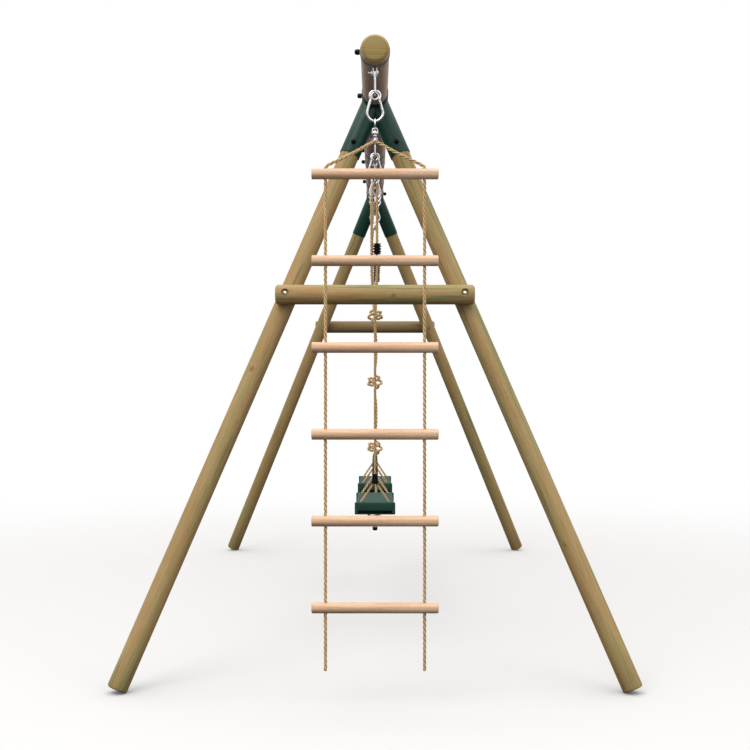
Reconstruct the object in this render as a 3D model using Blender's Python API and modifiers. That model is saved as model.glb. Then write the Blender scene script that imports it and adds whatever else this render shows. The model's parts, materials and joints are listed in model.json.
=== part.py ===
"""A timber swing set: a round top beam on two A-frames, with a rope ladder, two swings and a climbing rope.

Units are metres and +Z is up. The beam runs along Y, and the rope ladder hangs at its near (-Y) end.
The origin is on the ground, under the middle of the whole set.
"""

import math

import bmesh
import bpy
from mathutils import Vector

# Frame timbers
BEAM_RADIUS = 0.045
BEAM_LENGTH = 3.0
BEAM_HEIGHT = 2.0517  # the beam's axis above the ground
BEAM_CHAMFER = 0.008
POLE_RADIUS = 0.034  # legs and crossbars
POLE_CHAMFER = 0.004
NEAR_OVERHANG = 0.62  # from the beam's near end to the near A-frame
FRAME_SPACING = 2.294  # between the two A-frames, at the beam
SIDE_SLOPE = 0.4145  # how far a leg runs sideways, per metre of drop
END_SLOPE = 0.205  # how far a leg runs outward along the beam, per metre of drop
CROSSBAR_HEIGHT = 1.319
CROSSBAR_LENGTH = 0.686
CROSSBAR_OFFSET = 0.060  # from the legs' plane to the crossbar's axis, so it is notched over the legs
GAP = 0.0003  # between pieces that rest on each other
POLE_SEGMENTS = 24  # sides of the round timbers and of what fits round them
FINE_SEGMENTS = 8  # sides of bolts, ropes and their holes
RING_STEPS = 12

# Steel A-frame brackets
SLEEVE_RADIUS = 0.0475
SLEEVE_LENGTH = 0.16
SOCKET_RADIUS = 0.037
SOCKET_REACH = 0.244  # from the beam's axis to the socket's rim, along the leg
LEG_START = 0.115  # from the beam's axis to the leg's top end, along the leg
SOCKET_SPIN = 0.03  # turns each socket's facets a little, so that no two tubes' facets coincide
SOCKET_BOLT_REACH = 0.198
WEB_DROP = 0.125  # lower edge of the web between the two sockets

# Bolts
SHANK_RADIUS = 0.004
BEAM_BOLT_LENGTH = 0.06
CAP_RADIUS = 0.008
CAP_HEIGHT = 0.015
COUNTERBORE_RADIUS = 0.0135
COACH_SCREW_BITE = 0.020  # how far a crossbar bolt runs past the leg's centre line
COUNTERBORE_DEPTH = 0.010

# Hangers, measured along the beam from the near A-frame
LADDER_STATION = -0.589
ROPE_STATION = 1.150
SWING_STATIONS = (0.7275, 1.5725)
SWING_HANGER_SPACING = 0.565
CLAMP_BOLT_DROP = 0.0657  # from the beam's axis down to the clamp's bolt
PIVOT_DROP = 0.1337  # from the beam's axis down to the link's lower wire
BAND_RADIUS = 0.0473
BAND_WIDTH = 0.028
EAR_OFFSET = 0.0053
EAR_THICKNESS = 0.003
EAR_DROP = 0.0797
LINK_WIRE = 0.0035
LINK_BEND = 0.008

# Snap hooks, measured down from the pivot
HOOK_WIRE = 0.004
HOOK_TOP_BEND = 0.0165
HOOK_TOP_DROP = 0.004
HOOK_LOW_BEND = 0.025
HOOK_LOW_DROP = 0.057
EYELET_WIRE = 0.0028
EYELET_BEND = 0.0108
EYELET_DROP = 0.0042
HOOK_NECK_ANGLE = math.radians(35)  # how far the top bend runs below level before the straight sides start
GATE_START = 0.0042  # from the top of the hook's straight side to the gate
GATE_LENGTH = 0.0330
RING_WIRE = 0.003
RING_BEND = 0.022
RING_DROP = 0.0976

# Swivel under the ladder's hook, measured down from the pivot
SWIVEL_RING_BEND = 0.0154
SWIVEL_RING_DROP = 0.0921
YOKE_BEND = 0.0078
YOKE_DROP = 0.1117
COLLAR_TOP_DROP = 0.1165
COLLAR_LOW_DROP = 0.1255
LADDER_EYE_BEND = 0.010
LADDER_EYE_DROP = 0.1445

# Rope ladder
LADDER_ROPE_RADIUS = 0.005
LADDER_ROPE_SPREAD = 0.155
LADDER_APEX_HEIGHT = 1.7712
LADDER_SHOULDER_HEIGHT = 1.694
LADDER_ROPE_END = 0.116
RUNG_COUNT = 6
RUNG_TOP = 1.6706
RUNG_PITCH = 0.27144
RUNG_RADIUS = 0.017
RUNG_LENGTH = 0.397

# Swings
SWING_ROPE_RADIUS = 0.005
BRIDLE_START = 0.0004  # each bridle strand starts this far beside the line
BRIDLE_TAIL = 0.010  # how far a strand runs below the seat's top
STOPPER_HALF_SIZE = (0.007, 0.009, 0.007)
STOPPER_DROP = 0.003
SEAT_TOP = 0.5217
SEAT_LENGTH = 0.41
SEAT_WIDTH = 0.155
SEAT_END_WIDTH = 0.166
SEAT_DEPTH = 0.050
SEAT_END_DEPTH = 0.033
SEAT_WALL = 0.004
SEAT_HOLE_X = 0.0566
SEAT_HOLE_Y = 0.18
STRAND_X = (-0.014, 0.0085)  # the doubled rope above the splice
SPLICE_HEIGHT = 1.385
BRIDLE_APEX = 0.081  # above the seat
SLEEVE_SPAN = (0.0765, 0.1165)  # the black sleeve, above the seat
ADJUSTER_HEIGHT = 1.55

# Climbing rope
CLIMBING_ROPE_RADIUS = 0.006
CLIMBING_SPLICE_HEIGHT = 1.462
KNOT_HEIGHTS = (1.314, 1.009, 0.706, 0.402)
KNOT_HALF_SIZE = (0.0375, 0.021, 0.0235)
ROPE_CAP_SPAN = (0.324, 0.345)
ROPE_CAP_RADIUS = 0.0105

TILT = math.atan(END_SLOPE)  # of the A-frame's plane, out along the beam
LEG_ANGLE = math.atan(SIDE_SLOPE * math.cos(TILT))  # of a leg within that plane
LEG_LENGTHENING = math.sqrt(1 + SIDE_SLOPE**2 + END_SLOPE**2)  # leg length per metre of drop
FOOT_RADIUS = POLE_RADIUS - POLE_CHAMFER
FOOT_CENTRE_HEIGHT = FOOT_RADIUS * math.sqrt(1 - 1 / LEG_LENGTHENING**2)
LEG_END = (BEAM_HEIGHT - FOOT_CENTRE_HEIGHT) * LEG_LENGTHENING
PIVOT_HEIGHT = BEAM_HEIGHT - PIVOT_DROP


def foot_reach():
    """How far the feet reach beyond the A-frame's bracket, along the beam."""
    along = END_SLOPE / LEG_LENGTHENING
    centre = (LEG_END - POLE_CHAMFER) * along
    return centre + POLE_RADIUS * math.sqrt(1 - along**2)


BEAM_START = -(NEAR_OVERHANG + FRAME_SPACING + foot_reach()) / 2
NEAR_FRAME_Y = BEAM_START + NEAR_OVERHANG
FAR_FRAME_Y = NEAR_FRAME_Y + FRAME_SPACING


def clear_scene():
    for obj in list(bpy.data.objects):
        bpy.data.objects.remove(obj)


def make_collection(name):
    group = bpy.data.collections.new(name)
    bpy.context.scene.collection.children.link(group)
    return group


def make_material(name, color, roughness, metallic=0.0):
    material = bpy.data.materials.new(name)
    material.use_nodes = True
    shader = material.node_tree.nodes["Principled BSDF"]
    shader.inputs["Base Color"].default_value = (*color, 1)
    shader.inputs["Roughness"].default_value = roughness
    shader.inputs["Metallic"].default_value = metallic
    material.diffuse_color = (*color, 1)
    return material


clear_scene()
PARTS = make_collection("swing_set")
HELPERS = make_collection("cutters")
MATERIALS = {
    "timber": make_material("treated_timber", (0.42, 0.31, 0.15), 0.7),
    "rung_wood": make_material("rung_wood", (0.72, 0.52, 0.36), 0.55),
    "green_steel": make_material("green_steel", (0.02, 0.09, 0.06), 0.4),
    "zinc": make_material("zinc_steel", (0.75, 0.76, 0.77), 0.28, 1.0),
    "black": make_material("black_plastic", (0.015, 0.015, 0.015), 0.45),
    "rope": make_material("hemp_rope", (0.60, 0.43, 0.24), 0.9),
    "green_plastic": make_material("green_plastic", (0.03, 0.11, 0.07), 0.5),
}


def add_object(name, data, material=None):
    """A part if it has a material, and otherwise a helper that shapes a part."""
    obj = bpy.data.objects.new(name, data)
    if material:
        obj.data.materials.append(MATERIALS[material])
        PARTS.objects.link(obj)
    else:
        HELPERS.objects.link(obj)
        obj.hide_render = True
        obj.display_type = "WIRE"
    return obj


def empty(name, location, rotation=(0, 0, 0), parent=None):
    obj = bpy.data.objects.new(name, None)
    obj.empty_display_size = 0.05
    PARTS.objects.link(obj)
    return place(obj, location, rotation, parent)


def place(obj, location=(0, 0, 0), rotation=(0, 0, 0), parent=None):
    obj.location = location
    obj.rotation_euler = rotation
    obj.parent = parent
    return obj


def turned(name, profile, material=None, segments=POLE_SEGMENTS, closed=False):
    """A solid turned about local Z, from a profile of (radius, height) that runs down its outer side."""
    mesh = bpy.data.meshes.new(name)
    shape = bmesh.new()
    points = [shape.verts.new((radius, 0, height)) for radius, height in profile]
    for start, end in zip(points, points[1:]):
        shape.edges.new((start, end))
    if closed:
        shape.edges.new((points[-1], points[0]))
    shape.to_mesh(mesh)
    shape.free()
    obj = add_object(name, mesh, material)
    screw = obj.modifiers.new("turn", "SCREW")
    screw.steps = segments
    screw.render_steps = segments
    screw.use_merge_vertices = True
    screw.merge_threshold = 0.00001
    screw.use_smooth_shade = True
    return obj


def hole(name, radius, top, bottom, location, rotation, parent=None):
    """A cutter whose flats clear a round piece of this radius by the gap."""
    clear = (radius + GAP) / math.cos(math.pi / FINE_SEGMENTS)
    return place(rod(name, clear, top, bottom, None, FINE_SEGMENTS), location, rotation, parent)


def rod(name, radius, top, bottom, material=None, segments=POLE_SEGMENTS, chamfer=0.0):
    """A round rod along local Z between two heights."""
    if chamfer:
        profile = [(0, top), (radius - chamfer, top), (radius, top - chamfer)]
        profile += [(radius, bottom + chamfer), (radius - chamfer, bottom), (0, bottom)]
    else:
        profile = [(0, top), (radius, top), (radius, bottom), (0, bottom)]
    return turned(name, profile, material, segments)


def block(name, size, material=None, centre=(0, 0, 0), bevel=0.0, bevel_segments=2):
    mesh = bpy.data.meshes.new(name)
    shape = bmesh.new()
    bmesh.ops.create_cube(shape, size=1)
    bmesh.ops.scale(shape, vec=size, verts=shape.verts)
    bmesh.ops.translate(shape, vec=centre, verts=shape.verts)
    shape.to_mesh(mesh)
    shape.free()
    obj = add_object(name, mesh, material)
    if bevel:
        edge = obj.modifiers.new("rounding", "BEVEL")
        edge.width = bevel
        edge.segments = bevel_segments
    return obj


def ball(name, half_size, centre, segments=8, rings=5):
    mesh = bpy.data.meshes.new(name)
    shape = bmesh.new()
    bmesh.ops.create_uvsphere(shape, u_segments=segments, v_segments=rings, radius=1)
    bmesh.ops.scale(shape, vec=half_size, verts=shape.verts)
    bmesh.ops.translate(shape, vec=centre, verts=shape.verts)
    shape.to_mesh(mesh)
    shape.free()
    return add_object(name, mesh)


def wire(name, points, radius, material=None, cyclic=False, fineness=1):
    """A round bar that follows the points, as a mesh."""
    curve = bpy.data.curves.new(name + "_curve", "CURVE")
    curve.dimensions = "3D"
    curve.bevel_depth = radius
    curve.bevel_resolution = fineness
    curve.use_fill_caps = True
    line = curve.splines.new("POLY")
    line.points.add(len(points) - 1)
    for point, place_at in zip(line.points, points):
        point.co = (*place_at, 1)
    line.use_cyclic_u = cyclic
    source = bpy.data.objects.new(name + "_curve", curve)
    HELPERS.objects.link(source)
    bpy.context.view_layer.update()
    mesh = bpy.data.meshes.new_from_object(source.evaluated_get(bpy.context.evaluated_depsgraph_get()))
    shape = bmesh.new()
    shape.from_mesh(mesh)
    bmesh.ops.remove_doubles(shape, verts=shape.verts, dist=0.000001)
    bmesh.ops.recalc_face_normals(shape, faces=shape.faces)
    shape.to_mesh(mesh)
    shape.free()
    mesh.name = name
    bpy.data.objects.remove(source)
    bpy.data.curves.remove(curve)
    mesh.shade_smooth()
    return add_object(name, mesh, material)


def combine(obj, helper, operation):
    step = obj.modifiers.new(operation.lower(), "BOOLEAN")
    step.operation = operation
    step.object = helper


def join(obj, *helpers):
    for helper in helpers:
        combine(obj, helper, "UNION")


def cut(obj, *helpers):
    for helper in helpers:
        combine(obj, helper, "DIFFERENCE")


def bake(obj):
    """Turns the object's modifiers into its mesh, so that another object can share it."""
    bpy.context.view_layer.update()
    graph = bpy.context.evaluated_depsgraph_get()
    obj.data = bpy.data.meshes.new_from_object(obj.evaluated_get(graph))
    obj.modifiers.clear()


def arc(centre_x, centre_z, radius, start, end, steps, flat_axis="y"):
    """Points on an arc, by degrees from +X towards +Z, in the XZ plane or (flat_axis x) the YZ plane."""
    points = []
    for step in range(steps + 1):
        angle = math.radians(start + (end - start) * step / steps)
        across = centre_x + radius * math.cos(angle)
        up = centre_z + radius * math.sin(angle)
        points.append((across, 0, up) if flat_axis == "y" else (0, across, up))
    return points


def ring_points(centre_z, radius, flat_axis="y"):
    return arc(0, centre_z, radius, 0, 360, RING_STEPS, flat_axis)[:-1]


def top_beam():
    beam = rod("top_beam", BEAM_RADIUS, 0, -BEAM_LENGTH, "timber", POLE_SEGMENTS, BEAM_CHAMFER)
    place(beam, (0, BEAM_START, BEAM_HEIGHT), (math.radians(90), 0, 0))
    return beam


def bolt_profile(shank_length, cap_height=CAP_HEIGHT, cap_radius=CAP_RADIUS):
    """A screw with a domed cap above height 0 and its shank below."""
    profile = [(0, cap_height), (cap_radius * 0.75, cap_height * 0.85), (cap_radius, cap_height * 0.4)]
    profile.append((cap_radius * 0.9, 0))
    profile += [(SHANK_RADIUS, 0), (SHANK_RADIUS, -shank_length), (0, -shank_length)]
    return profile


def capped_bolt(name, shank_length, location, rotation, parent, receivers):
    """A screw with a black cap, and its clearance hole in each piece that it goes through."""
    bolt = turned(name, bolt_profile(shank_length), "black", FINE_SEGMENTS)
    place(bolt, location, rotation, parent)
    drilled = hole(name + "_hole", SHANK_RADIUS, 0.002, -shank_length - GAP, location, rotation, parent)
    for piece in receivers:
        cut(piece, drilled)
    return bolt


def frame_axes(side, y, turn):
    """The empties that hold an A-frame: one level, and one tilted into the plane of its legs."""
    upright = empty(side + "_frame", (0, y, BEAM_HEIGHT), (0, 0, turn))
    plane = empty(side + "_frame_plane", (0, 0, 0), (-TILT, 0, 0), upright)
    return upright, plane


def near_frame(beam):
    """Two legs, a crossbar, the steel bracket and their bolts."""
    side = "near"
    upright, plane = frame_axes(side, NEAR_FRAME_Y, 0)
    bracket = rod(side + "_bracket", SLEEVE_RADIUS, SLEEVE_LENGTH / 2, -SLEEVE_LENGTH / 2, "green_steel", POLE_SEGMENTS)
    place(bracket, (0, 0, 0), (math.radians(90), 0, 0), upright)
    web_height = WEB_DROP - SLEEVE_RADIUS
    web = block(side + "_web", (0.030, 0.006, web_height), None, (0, 0, -WEB_DROP + web_height / 2))
    place(web, parent=plane)
    join(bracket, web)
    legs = {}
    bores = []
    for hand, sign in (("left", -1), ("right", 1)):
        lean = (0, -sign * LEG_ANGLE, 0)
        socket = rod(f"{side}_{hand}_socket", SOCKET_RADIUS, -0.02, -SOCKET_REACH)
        place(socket, rotation=(0, lean[1], SOCKET_SPIN * (sign + 2)), parent=plane)
        socket.rotation_mode = "ZYX"
        join(bracket, socket)
        bore = rod(f"{side}_{hand}_bore", POLE_RADIUS + GAP, GAP - LEG_START, -SOCKET_REACH - 0.02)
        bores.append(place(bore, rotation=lean, parent=plane))
        leg = rod(f"{side}_{hand}_leg", POLE_RADIUS, -LEG_START, -LEG_END, "timber", POLE_SEGMENTS, POLE_CHAMFER)
        legs[hand] = place(leg, rotation=lean, parent=plane)
    cut(bracket, *bores)
    pieces = [bracket, legs["left"], legs["right"]]
    for hand, sign in (("left", -1), ("right", 1)):
        across = sign * SOCKET_BOLT_REACH * math.sin(LEG_ANGLE)
        along = -SOCKET_BOLT_REACH * math.cos(LEG_ANGLE)
        location = (across, -SOCKET_RADIUS - GAP, along)
        name = f"{side}_{hand}_socket_bolt"
        receivers = (bracket, legs[hand])
        pieces.append(capped_bolt(name, 0.045, location, (math.radians(90), 0, 0), plane, receivers))
    location = (-SLEEVE_RADIUS - GAP, 0, 0)
    turn = (0, math.radians(-90), 0)
    pieces.append(capped_bolt(side + "_beam_bolt", BEAM_BOLT_LENGTH, location, turn, upright, (bracket, beam)))
    beam_bore = rod(side + "_beam_bore", BEAM_RADIUS + GAP, 0.1, -0.1)
    cut(bracket, place(beam_bore, (0, 0, 0), (math.radians(90), 0, 0), upright))
    pieces += crossbar(side, plane, legs)
    for piece in pieces:
        piece.modifiers.new("triangles", "TRIANGULATE")
        bake(piece)
    return pieces, upright, plane


def far_frame(near_pieces, near_upright, near_plane, beam):
    """The near A-frame's pieces again, turned half round about the vertical."""
    upright, plane = frame_axes("far", FAR_FRAME_Y, math.pi)
    parents = {near_upright: upright, near_plane: plane}
    for piece in near_pieces:
        twin = bpy.data.objects.new(piece.name.replace("near", "far"), piece.data)
        PARTS.objects.link(twin)
        place(twin, piece.location, piece.rotation_euler, parents[piece.parent])
    location = (-SLEEVE_RADIUS - GAP, 0, 0)
    turn = (0, math.radians(-90), 0)
    depth = -BEAM_BOLT_LENGTH - GAP
    cut(beam, hole("far_beam_bolt_hole", SHANK_RADIUS, 0.002, depth, location, turn, upright))


def crossbar(side, plane, legs):
    """The crossbar, saddled over the outer side of both legs and bolted through them."""
    drop = (BEAM_HEIGHT - CROSSBAR_HEIGHT + CROSSBAR_OFFSET * math.sin(TILT)) / math.cos(TILT)
    half = CROSSBAR_LENGTH / 2
    bar = rod(side + "_crossbar", POLE_RADIUS, half, -half, "timber", POLE_SEGMENTS, 0.006)
    place(bar, (0, -CROSSBAR_OFFSET, -drop), (0, math.radians(90), 0), plane)
    for hand, sign in (("left", -1), ("right", 1)):
        saddle = rod(f"{side}_{hand}_saddle", POLE_RADIUS + GAP, -0.5, -1.1)
        place(saddle, rotation=(0, -sign * LEG_ANGLE, 0), parent=plane)
        cut(bar, saddle)
    pieces = [bar]
    for hand, sign in (("left", -1), ("right", 1)):
        across = sign * drop * math.tan(LEG_ANGLE)
        seat_y = -CROSSBAR_OFFSET - POLE_RADIUS + COUNTERBORE_DEPTH
        location = (across, seat_y, -drop)
        turn = (math.radians(90), 0, 0)
        counterbore = rod(f"{side}_{hand}_counterbore", COUNTERBORE_RADIUS, 0.03, 0, None, 16)
        cut(bar, place(counterbore, location, turn, plane))
        name = f"{side}_{hand}_crossbar_bolt"
        pieces.append(crossbar_bolt(name, location, turn, plane, (bar, legs[hand])))
    return pieces


def crossbar_bolt(name, location, turn, parent, receivers):
    """A domed coach screw through the crossbar that ends inside the leg."""
    end = COUNTERBORE_DEPTH - CROSSBAR_OFFSET - POLE_RADIUS - COACH_SCREW_BITE
    profile = [(0, 0.0055), (0.005, 0.0045), (0.008, GAP), (SHANK_RADIUS, GAP), (SHANK_RADIUS, end), (0, end)]
    bolt = place(turned(name, profile, "zinc", FINE_SEGMENTS), location, turn, parent)
    drilled = hole(name + "_hole", SHANK_RADIUS, 0.002, end, location, turn, parent)
    for piece in receivers:
        cut(piece, drilled)
    return bolt


def link_points(bolt_z, low_z):
    upper = arc(0, bolt_z, LINK_BEND, 0, 180, 4, "x")
    lower = arc(0, low_z + LINK_BEND, LINK_BEND, 180, 360, 4, "x")
    return upper + lower


def clamp(name, y, beam, fixed_link=False, side_screw=True):
    """The strap round the beam with its two ears, clamp bolt and side screw."""
    outer = BAND_RADIUS
    inner = BEAM_RADIUS + GAP
    half = BAND_WIDTH / 2
    profile = [(inner, half), (outer, half), (outer, -half), (inner, -half)]
    band = turned(name, profile, "zinc", POLE_SEGMENTS, closed=True)
    place(band, (0, y, BEAM_HEIGHT), (math.radians(90), 0, 0))
    ear_height = EAR_DROP - BEAM_RADIUS - 0.0012
    for sign in (-1, 1):
        ear = block(f"{name}_ear_{sign}", (EAR_THICKNESS, BAND_WIDTH, ear_height))
        place(ear, (sign * EAR_OFFSET, y, BEAM_HEIGHT - EAR_DROP + ear_height / 2))
        join(band, ear)
    bolt_z = BEAM_HEIGHT - CLAMP_BOLT_DROP
    profile = [(0, 0.0115), (0.007, 0.0105), (0.010, 0.0068), (SHANK_RADIUS, 0.0066)]
    profile += [(SHANK_RADIUS, -0.022), (0, -0.022)]
    across = (0, math.radians(90), 0)
    bolt = place(turned(name + "_bolt", profile, None, FINE_SEGMENTS), (0, y, bolt_z), across)
    nut = place(rod(name + "_nut", 0.0075, -0.0064, -0.0135, None, 6), (0, y, bolt_z), across)
    join(band, bolt, nut)
    if fixed_link:
        bush = place(rod(name + "_bush", 0.0054, 0.0042, -0.0042, None, FINE_SEGMENTS), (0, y, bolt_z), across)
        link = wire(name + "_link", link_points(0, CLAMP_BOLT_DROP - PIVOT_DROP), LINK_WIRE)
        join(band, bush, place(link, (0, y, bolt_z)))
    if side_screw:
        at = (-BAND_RADIUS + 0.0004, y, BEAM_HEIGHT)
        turn = (0, math.radians(-90), 0)
        screw = turned(name + "_screw", bolt_profile(0.03), None, FINE_SEGMENTS)
        join(band, place(screw, at, turn))
        cut(beam, hole(name + "_screw_hole", SHANK_RADIUS, 0.002, -0.03 - GAP, at, turn))
    return band


def hook_side():
    """The hook's straight right side: its top and bottom points, its direction down and its slope in degrees."""
    neck = Vector((math.cos(HOOK_NECK_ANGLE), 0, -math.sin(HOOK_NECK_ANGLE)))
    top = Vector((0, 0, -HOOK_TOP_DROP)) + HOOK_TOP_BEND * neck
    low_centre = Vector((0, 0, -HOOK_LOW_DROP))
    to_neck = top - low_centre
    slope = math.atan2(to_neck.z, to_neck.x) - math.acos(HOOK_LOW_BEND / to_neck.length)
    bottom = low_centre + HOOK_LOW_BEND * Vector((math.cos(slope), 0, math.sin(slope)))
    return top, bottom, (bottom - top).normalized(), math.degrees(slope)


def snap_hook(name, parent, gated):
    """A pear-shaped snap hook with a captive eyelet in its narrow end. A gated one is open on its right side."""
    top, bottom, down, slope = hook_side()
    neck = math.degrees(HOOK_NECK_ANGLE)
    outline = arc(0, -HOOK_TOP_DROP, HOOK_TOP_BEND, -neck, 180 + neck, 8)
    outline += arc(0, -HOOK_LOW_DROP, HOOK_LOW_BEND, 180 - slope, 360 + slope, 8)
    if gated:
        outline = [tuple(top + down * GATE_START)] + outline
        outline.append(tuple(top + down * (GATE_START + GATE_LENGTH)))
    hook = wire(name, outline, HOOK_WIRE, "zinc", cyclic=not gated)
    place(hook, parent=parent)
    eyelet = wire(name + "_eyelet", ring_points(-EYELET_DROP, EYELET_BEND), EYELET_WIRE)
    join(hook, place(eyelet, parent=parent))
    return hook


def hook_gate(name, parent, hook):
    """The sprung gate with its rivet, on the tongue of the hook's upper end."""
    top, bottom, down, slope = hook_side()
    pivot_at = top + down * (GATE_START + HOOK_WIRE + GAP)
    turn = (0, -math.radians(slope), 0)
    pivot = empty(name + "_pivot", pivot_at, turn, parent)
    length = GATE_LENGTH - HOOK_WIRE - 3 * GAP
    angles = [math.radians(degrees) for degrees in (0, 30, 60, 90)]
    quarter = [(HOOK_WIRE * math.sin(angle), HOOK_WIRE * math.cos(angle)) for angle in angles]
    gate = turned(name, quarter + [(HOOK_WIRE, -length), (0, -length)], "zinc", 12)
    place(gate, parent=pivot)
    slot = block(name + "_slot", (0.012, 0.0034, 0.010), None, (0, 0, 0))
    cut(gate, place(slot, parent=pivot))
    rivet = rod(name + "_rivet", 0.0015, 0.0045, -0.0045, None, 8)
    join(gate, place(rivet, (0, 0, 0), (math.radians(90), 0, 0), pivot))
    tongue = block(name + "_tongue", (0.0056, 0.0028, 0.0088), None, (0, 0, 0.0014))
    rivet_hole = rod(name + "_rivet_hole", 0.0018, 0.006, -0.006, None, 8)
    join(hook, place(tongue, parent=pivot))
    cut(hook, place(rivet_hole, (0, 0, 0), (math.radians(90), 0, 0), pivot))
    return gate


def hanger_link(name, parent):
    """The oval link between the clamp's bolt and the hook. The parent sits on the bolt's axis."""
    link = wire(name, link_points(0, CLAMP_BOLT_DROP - PIVOT_DROP), LINK_WIRE, "zinc")
    return place(link, parent=parent)


def rope_ring(name, hook, parent):
    ring = wire(name, ring_points(-RING_DROP - 0.0005, RING_BEND, "x"), RING_WIRE)
    join(hook, place(ring, parent=parent))


def swivel_yoke(hook, parent):
    """The ring, yoke and collar that hang from the ladder's hook."""
    ring = wire("swivel_ring", ring_points(-SWIVEL_RING_DROP, SWIVEL_RING_BEND, "x"), 0.0025)
    bow = [(YOKE_BEND, 0, -COLLAR_TOP_DROP - 0.003)] + arc(0, -YOKE_DROP, YOKE_BEND, 0, 180, 8)
    bow.append((-YOKE_BEND, 0, -COLLAR_TOP_DROP - 0.003))
    yoke = wire("swivel_bow", bow, 0.002)
    profile = [(0.0034, -COLLAR_TOP_DROP), (0.0085, -COLLAR_TOP_DROP), (0.0103, -COLLAR_TOP_DROP - 0.0015)]
    profile += [(0.0103, -COLLAR_LOW_DROP + 0.002), (0.0075, -COLLAR_LOW_DROP), (0.0034, -COLLAR_LOW_DROP)]
    collar = turned("swivel_collar", profile, None, 12, closed=True)
    join(hook, place(ring, parent=parent), place(yoke, parent=parent), place(collar, parent=parent))


def swivel_eye(parent):
    """The turning lower half of the swivel: head, neck, shoulder and rope eye."""
    head = -COLLAR_TOP_DROP + GAP
    shoulder = -COLLAR_LOW_DROP - GAP
    profile = [(0, head + 0.004), (0.0038, head + 0.0035), (0.0045, head), (0.003, head), (0.003, shoulder)]
    profile += [(0.0055, shoulder), (0.0055, shoulder - 0.005)]
    profile += [(0.004, shoulder - 0.009), (0, shoulder - 0.009)]
    eye = place(turned("ladder_swivel_eye", profile, "zinc", 12), parent=parent)
    ring = wire("ladder_eye_ring", ring_points(-LADDER_EYE_DROP, LADDER_EYE_BEND, "x"), 0.002)
    join(eye, place(ring, parent=parent))
    return eye


def ladder_rope(parent):
    """One rope, up one side of the ladder, through the swivel's eye and down the other side."""
    spread = LADDER_ROPE_SPREAD
    bend = 0.012
    apex = LADDER_APEX_HEIGHT - PIVOT_HEIGHT
    shoulder = LADDER_SHOULDER_HEIGHT - PIVOT_HEIGHT
    slope = (apex - shoulder) / spread
    half = [(0.006, 0, apex - 0.0012), (0.016, 0, apex - 0.0065)]
    half += [(spread - bend, 0, shoulder + bend * slope), (spread - bend * 0.25, 0, shoulder)]
    half += [(spread, 0, shoulder - 0.006), (spread, 0, LADDER_ROPE_END - PIVOT_HEIGHT)]
    path = [(-x, y, z) for x, y, z in reversed(half)] + [(0, 0, apex)] + half
    rope = wire("ladder_rope", path, LADDER_ROPE_RADIUS, "rope", fineness=2)
    return place(rope, parent=parent)


def ladder_rung(number, parent):
    """A turned rung with a hole for each rope."""
    name = f"ladder_rung_{number}"
    height = RUNG_TOP - (number - 1) * RUNG_PITCH - PIVOT_HEIGHT
    half = RUNG_LENGTH / 2
    rung = rod(name, RUNG_RADIUS, half, -half, "rung_wood", 12, 0.003)
    place(rung, (0, 0, height), (0, math.radians(90), 0), parent)
    for hand, sign in (("left", -1), ("right", 1)):
        at = (sign * LADDER_ROPE_SPREAD, 0, height)
        cut(rung, hole(f"{name}_{hand}_hole", LADDER_ROPE_RADIUS, 0.03, -0.03, at, (0, 0, 0), parent))
    return rung


def rope_ladder(beam):
    y = NEAR_FRAME_Y + LADDER_STATION
    clamp("ladder_clamp", y, beam)
    bolt_axis = empty("ladder_link_axis", (0, y, BEAM_HEIGHT - CLAMP_BOLT_DROP))
    hanger_link("ladder_link", bolt_axis)
    swing_axis = empty("ladder_swing_axis", (0, 0, CLAMP_BOLT_DROP - PIVOT_DROP), parent=bolt_axis)
    hook = snap_hook("ladder_hook", swing_axis, gated=True)
    hook_gate("ladder_hook_gate", swing_axis, hook)
    swivel_yoke(hook, swing_axis)
    twist_axis = empty("ladder_twist_axis", (0, 0, 0), parent=swing_axis)
    swivel_eye(twist_axis)
    ladder_rope(twist_axis)
    for number in range(1, RUNG_COUNT + 1):
        ladder_rung(number, twist_axis)


def strand_loop(name, radius, strands, low):
    """Rope from a splice up over the ring's lower wire and down again, with the ring's wire at height 0."""
    bend = radius + RING_WIRE + 0.0015
    left, right = strands
    points = [(left * 0.4, 0, low), (left * 0.9, 0, low + 0.045), (left, 0, low + 0.065), (left, 0, -0.06)]
    points += [(-bend, 0, -0.012)] + arc(0, 0, bend, 180, 0, 4) + [(bend, 0, -0.012), (right, 0, -0.03)]
    points += [(right, 0, low + 0.065), (right * 0.9, 0, low + 0.045), (right * 0.65, 0, low)]
    return wire(name, points, radius)


def swing_rope(name, parent, length, bridle):
    """The doubled rope over the ring, its splice, the single rope below and the two strands to the seat."""
    splice = (SPLICE_HEIGHT - PIVOT_HEIGHT + RING_DROP + RING_BEND) * length[1]
    apex = bridle - length[0]
    r = SWING_ROPE_RADIUS
    profile = [(0, splice + 0.010), (0.008, splice + 0.006), (0.0118, splice - 0.004), (0.010, splice - 0.02)]
    profile += [(r, splice - 0.055), (r, apex), (0, apex - 0.002)]
    rope = place(turned(name, profile, "rope", FINE_SEGMENTS), parent=parent)
    loop = strand_loop(name + "_loop", r, STRAND_X, splice - 0.002)
    join(rope, place(loop, parent=parent))
    low = -length[0]
    run = SEAT_HOLE_X / bridle
    foot_x = SEAT_HOLE_X + BRIDLE_TAIL * run
    foot_z = low - BRIDLE_TAIL
    for sign in (-1, 1):
        ends = [(sign * BRIDLE_START, 0, apex), (sign * foot_x, 0, foot_z)]
        strand = wire(f"{name}_strand_{sign}", ends, r)
        join(rope, place(strand, parent=parent))
        knot = ball(f"{name}_knot_{sign}", STOPPER_HALF_SIZE, (sign * foot_x, 0, foot_z - STOPPER_DROP))
        join(rope, place(knot, parent=parent))
    return rope


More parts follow.
